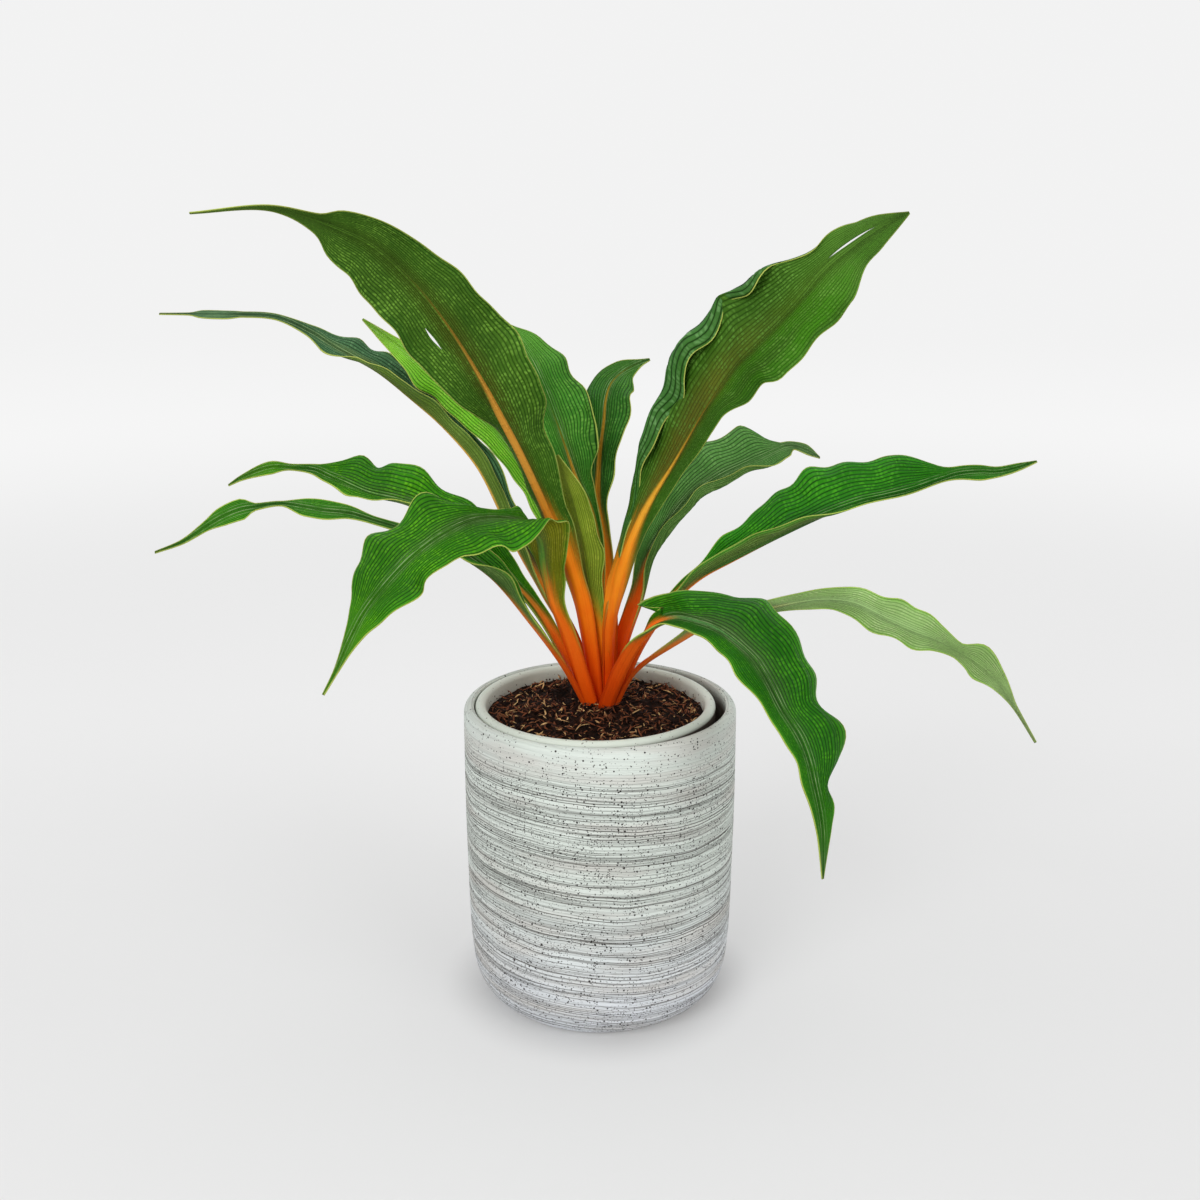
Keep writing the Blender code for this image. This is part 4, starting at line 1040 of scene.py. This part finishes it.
def leaf_points(name, number):
    """Rows of points from crown to tip, each once round the leaf's section, and what its skin reads."""
    heading, rows = LEAVES[name]
    samples, run = smooth_rows(rows)
    # stalks are a little broader than their cores, so that they sheathe each other at the foot
    stalk = 1.0 - ease(run, 50.0, 110.0)
    samples[:, 3:5] += stalk[:, None] * (1.0 - share_of(samples[:, 3:5], STALK_HALF, BLADE_HALF))
    left, face, ahead = directions(samples[:, :3], heading)
    curls = curl_rows(name)
    sweeps = np.array(SWEEPS.get(name, NO_SWEEP), float)
    phase = 1.7 * number
    shape, across, halves = [], [], []
    for j, row in enumerate(samples):
        t = run[j] / run[-1]
        roll = math.radians(row[5])
        row_left = left[j] * math.cos(roll) + face[j] * math.sin(roll)
        row_face = face[j] * math.cos(roll) - left[j] * math.sin(roll)
        rib = RIB_AT_TIP + (0.75 * rows[0][3] - RIB_AT_TIP) * (1 - t) ** 1.5
        curl_left, curl_right, onset, ruffle, grown_left, grown_right = (
            np.interp(t, curls[:, 0], column) for column in curls.T[1:])
        section = (onset, ruffle, rib, run[j], phase)
        upper, under = half_section(row, row_left, row_face, 1.0, curl_left, grown_left, *section)
        swept = np.outer(SHARES, ahead[j] * np.interp(t, sweeps[:, 0], sweeps[:, 1]))
        left_half = [upper - swept, (under - swept)[::-1]]
        upper, under = half_section(row, -row_left, row_face, -1.0, curl_right, grown_right, *section)
        shape.append(np.concatenate([upper[:0:-1], *left_half, under[1:], upper[-1:]]))
        signed = np.concatenate([-SHARES[:0:-1], SHARES, SHARES[::-1], -SHARES[1:], -SHARES[-1:]])
        across.append(signed)
        halves.append(np.where(signed > 0, row[3] * grown_left, row[4] * grown_right))
    return np.array(shape), np.array(across), np.array(halves), run


def tear(piece, first_row, rows, half, column, gape):
    """Open a short lens-shaped slit through the blade and close its sides."""
    upper = HALF_COLUMNS + column if half > 0 else HALF_COLUMNS - 1 - column
    under = 3 * HALF_COLUMNS - column if half > 0 else 3 * HALF_COLUMNS + 1 + column
    points = points_of(piece)
    rims = []
    for row in range(first_row, first_row + rows + 1):
        open_by = max(math.sin(math.pi * (row - first_row) / rows), 0.12) * gape
        for col in (upper, under):
            a = row * (RING + 1) + col
            b = a + 1
            middle, apart = (points[a] + points[b]) / 2, (points[b] - points[a]) / 2
            points[a] = middle - apart * open_by
            points[b] = middle + apart * open_by
            rims += [a, b]
    move_points(piece, points)
    bpy.ops.object.mode_set(mode="EDIT")
    bpy.ops.mesh.select_mode(type="FACE")
    bpy.ops.mesh.select_all(action="DESELECT")
    object_mode()
    for face in piece.data.polygons:
        row, col = divmod(min(face.vertices), RING + 1)
        face.select = first_row <= row < first_row + rows and col in (upper, under)
    bpy.ops.object.mode_set(mode="EDIT")
    bpy.ops.mesh.delete(type="FACE")
    bpy.ops.mesh.select_mode(type="VERT")
    bpy.ops.mesh.select_all(action="DESELECT")
    object_mode()
    for point in rims:
        piece.data.vertices[point].select = True
    bpy.ops.object.mode_set(mode="EDIT")
    bpy.ops.mesh.select_mode(type="EDGE")
    bpy.ops.mesh.bridge_edge_loops()
    object_mode()


def leaf(name, number):
    """A leaf from a plain grid: its columns wrap round the section, its rows run from crown to tip."""
    shape, across, halves, run = leaf_points(name, number)
    fresh()
    bpy.ops.mesh.primitive_grid_add(x_subdivisions=RING, y_subdivisions=len(run) - 1, size=MM)
    piece = named(name + "_blade")
    under = np.zeros(RING + 1)
    under[2 * HALF_COLUMNS + 1:RING] = 1.0
    move_points(piece, shape.reshape(-1, 3) * MM)
    runs = np.repeat(run[:, None], RING + 1, axis=1)
    mark(piece, "across", across.ravel())
    mark(piece, "half", halves.ravel() * MM)
    mark(piece, "run", runs.ravel() * MM)
    mark(piece, "along", (runs / run[-1]).ravel())
    mark(piece, "underside", np.tile(under, len(run)))
    if name in TEARS:
        start, *slit = TEARS[name]
        tear(piece, int(start * len(run)), *slit)
    edit_mode()
    bpy.ops.mesh.remove_doubles(threshold=0.002 * MM)
    bpy.ops.mesh.select_all(action="DESELECT")
    bpy.ops.mesh.select_non_manifold(extend=False, use_wire=False, use_boundary=True, use_multi_face=False,
                                     use_non_contiguous=False, use_verts=False)
    bpy.ops.mesh.fill_holes(sides=0)
    bpy.ops.mesh.select_all(action="SELECT")
    bpy.ops.mesh.normals_make_consistent(inside=False)
    object_mode()
    bpy.ops.object.shade_smooth()
    piece.data.materials.append(leaf_material(name))
    return piece


def leaf_effect():
    """Leaf skin: an orange stalk running into a golden midrib, and a ribbed, blistered green blade."""
    group, nodes, given = effect("leaf_skin", {
        "Upper": tone(40, 100, 30), "Upper Light": tone(80, 150, 50), "Under": tone(90, 120, 60),
        "Under Light": tone(120, 150, 80), "Centre": tone(70, 96, 50), "Edge": tone(60, 130, 30),
        "Midrib": tone(226, 150, 46), "Stalk": tone(240, 130, 30), "Foot": tone(226, 80, 14),
        "Margin": tone(196, 206, 100), "Bright": tone(58, 130, 4), "Lit Half": 0.0, "Green From": 0.25,
        "Green To": 0.4, "Gold End": 0.6, "Ribs": 10.0, "Gold Width": 3.0}, SKIN)
    here = nodes.place()
    across, half, run, along = (nodes.attribute(name) for name in ("across", "half", "run", "along"))
    share = abs(across)
    beneath = nodes.ramp(nodes.attribute("underside"), 0.45, 0.55)
    warp = nodes.noise(here, 160.0, 2.0)
    # ribs stand close beside the midrib and run out to the margin toward the tip
    band = share ** 0.75 * given["Ribs"] - along * 2.5 + warp * 0.35
    ridge = nodes.swell(band + 20.0)          # 0 on a rib, 1 between ribs
    side = nodes.math("SIGN", across) * 31.7
    rib = nodes.math("FLOOR", band + 20.0) + side
    rib_chance = nodes.get("Value", "TexWhiteNoise", {"W": rib}, noise_dimensions="1D")
    steps = run / (2.1 * MM) + rib_chance * 7.0 + warp * 2.4
    cell = nodes.triple(nodes.math("FLOOR", steps), rib, 0.0)
    cell_chance = nodes.get("Value", "TexWhiteNoise", {"Vector": cell}, noise_dimensions="3D")
    blister = ridge * nodes.swell(steps) * nodes.ramp(cell_chance, 0.15, 0.95)
    patch = nodes.ramp(nodes.noise(here, 55.0, 3.0), 0.38, 0.62)
    centre = nodes.ramp(share, 0.42, 0.06)
    base = nodes.blend(beneath, given["Upper"], given["Under"])
    # beside the midrib: on the two tall leaves a brown-olive painted shade in the midrib's crease, on others
    # a greyish painted sheen
    base = nodes.blend(centre * nodes.ramp(along, 0.85, 0.45, 0.1, 0.85), base, given["Centre"])
    base = nodes.blend(nodes.ramp(share, 0.72, 1.0) * 0.8, base, given["Edge"])
    # one half of the blade painted brighter: painted light where its fold catches the lamps
    lit_half = given["Lit Half"] * nodes.ramp(across, 0.04, 0.2) * nodes.ramp(along, 0.5, 0.75, 0.55, 1.0)
    cloud = nodes.noise(nodes.triple(share * 3.0, along * 3.0, 2.0), 1.0, 2.0)
    base = nodes.blend(lit_half * nodes.ramp(cloud, 0.3, 0.6), base, given["Bright"])
    # lighter between the ribs and on the blisters: the blade's own pattern, and on the upper face also
    # painted highlights on the blisters
    light = (blister * 0.9 + ridge * 0.24) * (0.42 + patch * 0.58) * (1.0 - centre * 0.45)
    lighter = nodes.blend(beneath, given["Upper Light"], given["Under Light"])
    green = nodes.blend(light, base, lighter)
    green = nodes.blend(nodes.ramp(along, 0.80, 0.97, 0.0, 0.6), green, lighter)      # tips dry out paler
    green = nodes.shaded(nodes.ramp(ridge, 0.62, 0.1) * (0.85 - beneath * 0.4), green, tone(104, 118, 80))
    broad = nodes.ramp(nodes.noise(here, 24.0, 3.0), 0.62, 0.38, 0.0, 0.55)
    green = nodes.shaded(broad, green, tone(190, 196, 176))
    # two thin pale veins beside the midrib on the upper face
    offset = share * half
    near, far = (nodes.ramp(abs(offset - place * MM), 0.3 * MM, 0.08 * MM) for place in (0.95, 2.3))
    veins = nodes.most(near, far * 0.5) * (1.0 - beneath) * nodes.ramp(warp, 0.35, 0.6, 0.15, 0.5)
    green = nodes.blend(veins, green, tone(160, 190, 130))
    # golden midrib, tapering towards the tip
    gold_left = nodes.math("SUBTRACT", 1.0, along / given["Gold End"], clamp=True)
    width = 0.3 * MM + gold_left * gold_left * (given["Gold Width"] * MM)
    midrib = nodes.ramp(offset, width * 1.5, width * 0.5) * nodes.ramp(gold_left, 0.0, 0.4)
    green = nodes.blend(midrib, green, given["Midrib"])
    # orange stalk, streaked into the green
    streak = nodes.noise(nodes.triple(band * 0.9, run * 40.0, side), 1.0, 3.0)
    reach = along + (streak - 0.5) * 0.10 + share * 0.12
    greened = nodes.ramp(reach, given["Green From"], given["Green To"])
    stalk = nodes.blend(nodes.ramp(run, 78.0 * MM, 8.0 * MM), given["Stalk"], given["Foot"])
    mottle = nodes.noise(nodes.place((1, 1, 0.25)), 260.0, 3.0)
    stalk = nodes.blend(nodes.ramp(mottle, 0.35, 0.75, 0.0, 0.35), stalk, given["Foot"])
    stalk = nodes.shaded(nodes.ramp(share, 0.75, 1.0, 0.0, 0.5), stalk, tone(170, 120, 100))
    colour = nodes.blend(greened, stalk, green)
    # thin pale margin
    margin = nodes.ramp(half - offset, 0.6 * MM, 0.2 * MM) * (greened * 0.8) * (1.0 - beneath * 0.4)
    relief = (ridge * 0.4 + blister * 0.6) * greened + (1.0 - greened) * (streak * 0.35)
    nodes.give(Color=nodes.blend(margin, colour, given["Margin"]),
               Roughness=0.42 - blister * 0.08 + beneath * 0.14, Height=relief)
    return group


def leaf_material(name):
    values = {label: lit(paint) if isinstance(paint, tuple) else float(paint)
              for label, paint in zip(PAINTED, LEAF_PAINT[name])}
    return finish_material(name + "_skin", LEAF_SKIN, values, relief=0.4 * MM, gloss=0.08)


# ---------------------------------------------------------------- studio

LAMPS = {
    "key": ((-0.9, -1.5, 1.15), 1.3, 19.5),
    "fill": ((1.35, -1.35, 0.8), 1.5, 13.0),
    "top": ((0.0, 0.3, 1.7), 1.6, 7.0),
}
LAMPS_AIM = Vector((0.0, 0.0, 0.18))
CAMERA_PLACE = (0.0, -0.6590, 0.3915)
CAMERA_DOWN = 15.665        # degrees below level
CAMERA_LENS = 41.85
SENSOR_WIDTH = 36.0
FLOOR_RADIUS = 36.0
FLOOR_RINGS = (24.0, 8.0, 2.5, 1.0)


def seen_directly(nodes):
    """1 for what the camera, a mirror or glass sees, 0 for light that falls on the object."""
    rays = nodes.add("LightPath").outputs
    return nodes.most(rays["Is Glossy Ray"], rays["Is Transmission Ray"], rays["Is Camera Ray"])


def studio_floor():
    """A wide pale floor: it keeps the shadow near the pot and melts into the backdrop further away."""
    fresh()
    bpy.ops.mesh.primitive_circle_add(vertices=64, radius=FLOOR_RADIUS, fill_type="NGON",
                                      location=(0.0, 0.0, -0.2 * MM))
    floor = named("studio_floor")
    edit_mode()
    for band in FLOOR_RINGS:
        bpy.ops.mesh.inset(thickness=band, depth=0.0)
    object_mode()
    material, nodes, painted = new_material("studio_floor")
    spot = nodes.add("TexCoord").outputs["Object"]
    reach = nodes.get("Value", "VectorMath", {0: spot}, operation="LENGTH")
    y = nodes.axes()[1]
    near = nodes.ramp(reach, 1.6, 0.35)
    painted["Roughness"].default_value = 0.9
    painted["Specular IOR Level"].default_value = 0.0
    nodes.wire(nodes.blend(near, grey(0.0), grey(0.50)), painted["Base Color"])
    level = nodes.ramp(reach, 0.25, 2.2, 0.725, 0.875) - near * 0.38
    level = level + nodes.ramp(y, -0.05, 0.45, -0.05, 0.05) - nodes.ramp(y, 1.0, 4.0, 0.0, 0.035)
    level = level - nodes.ramp(reach, 0.086, 0.056, 0.0, 0.13)      # the foot's contact shadow
    glow = nodes.get(0, "Emission", {"Strength": level, "Color": WHITE})
    shown = nodes.get(0, "AddShader", {0: material.node_tree.nodes["Principled BSDF"].outputs[0], 1: glow})
    bounce = nodes.get(0, "BsdfDiffuse", {"Color": grey(0.74)})
    either = nodes.get(0, "MixShader", {0: seen_directly(nodes), 1: bounce, 2: shown})
    nodes.wire(either, material.node_tree.nodes["Material Output"].inputs["Surface"])
    floor.data.materials.append(material)


def hung(name, thing, place):
    """Put a lamp or a camera in the scene."""
    holder = bpy.data.objects.new(name, thing)
    bpy.context.scene.collection.objects.link(holder)
    holder.location = place
    return holder


def studio():
    """Pale surroundings, soft lamps and the camera."""
    studio_floor()
    world = bpy.data.worlds.new("studio")
    bpy.context.scene.world = world
    world.use_nodes = True
    nodes = Nodes(world.node_tree)
    background = world.node_tree.nodes["Background"].inputs
    nodes.wire(nodes.blend(seen_directly(nodes), grey(0.50), grey(0.89)), background["Color"])
    background["Strength"].default_value = 1.0
    for label, (place, size, power) in LAMPS.items():
        lamp = bpy.data.lights.new(label, "AREA")
        lamp.shape = "DISK"
        lamp.size = size
        lamp.energy = power
        aim = LAMPS_AIM - Vector(place)
        hung(label, lamp, place).rotation_euler = aim.to_track_quat("-Z", "Y").to_euler()
    camera = bpy.data.cameras.new("camera")
    camera.lens = CAMERA_LENS
    camera.sensor_width = SENSOR_WIDTH
    camera.clip_start = 0.01
    holder = hung("camera", camera, CAMERA_PLACE)
    holder.rotation_euler = (math.radians(90.0 - CAMERA_DOWN), 0.0, 0.0)
    bpy.context.scene.camera = holder
    bpy.context.scene.view_settings.view_transform = "Standard"


# ---------------------------------------------------------------- everything

SPECKS = speckle_effect()
COMB_LINES = comb_line_effect()
LEAF_SKIN = leaf_effect()
studio()

pot = cover_pot()
liner = liner_pot()
mix = potting_mix()
patterns = [husk_shape(name, *(size * MM for size in sizes)) for name, sizes in HUSK_SHAPES.items()]
husks = scattered("strewn_husks", patterns, count=HUSKS, seed=5, lay=26.0, highest=2.6 * MM,
                  material=husk_material())
patterns = [crumb_shape(name, size * MM, apart) for name, (size, apart) in CRUMB_SHAPES.items()]
crumbs = scattered("strewn_crumbs", patterns, count=CRUMBS, seed=9, lay=60.0, highest=1.0 * MM,
                   material=mix.data.materials[0])
for piece, node, slot in ((pot, "cover_pot", "stoneware"), (liner, "liner_pot", "pale_ceramic"),
                          (mix, "potting_mix", "potting_mix")):
    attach(piece, "root")
    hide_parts(node)
for piece in (husks, crumbs):
    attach(piece, "root")
for number, name in enumerate(LEAVES):
    piece = leaf(name, number)
    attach(piece, "root")
    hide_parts(name)

never_green = {"Green From": 2.0, "Green To": 3.0}
crown_skin = finish_material("crown_skin", LEAF_SKIN, never_green, relief=0.3 * MM)
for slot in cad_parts["crown"].material_slots:
    slot.material = crown_skin
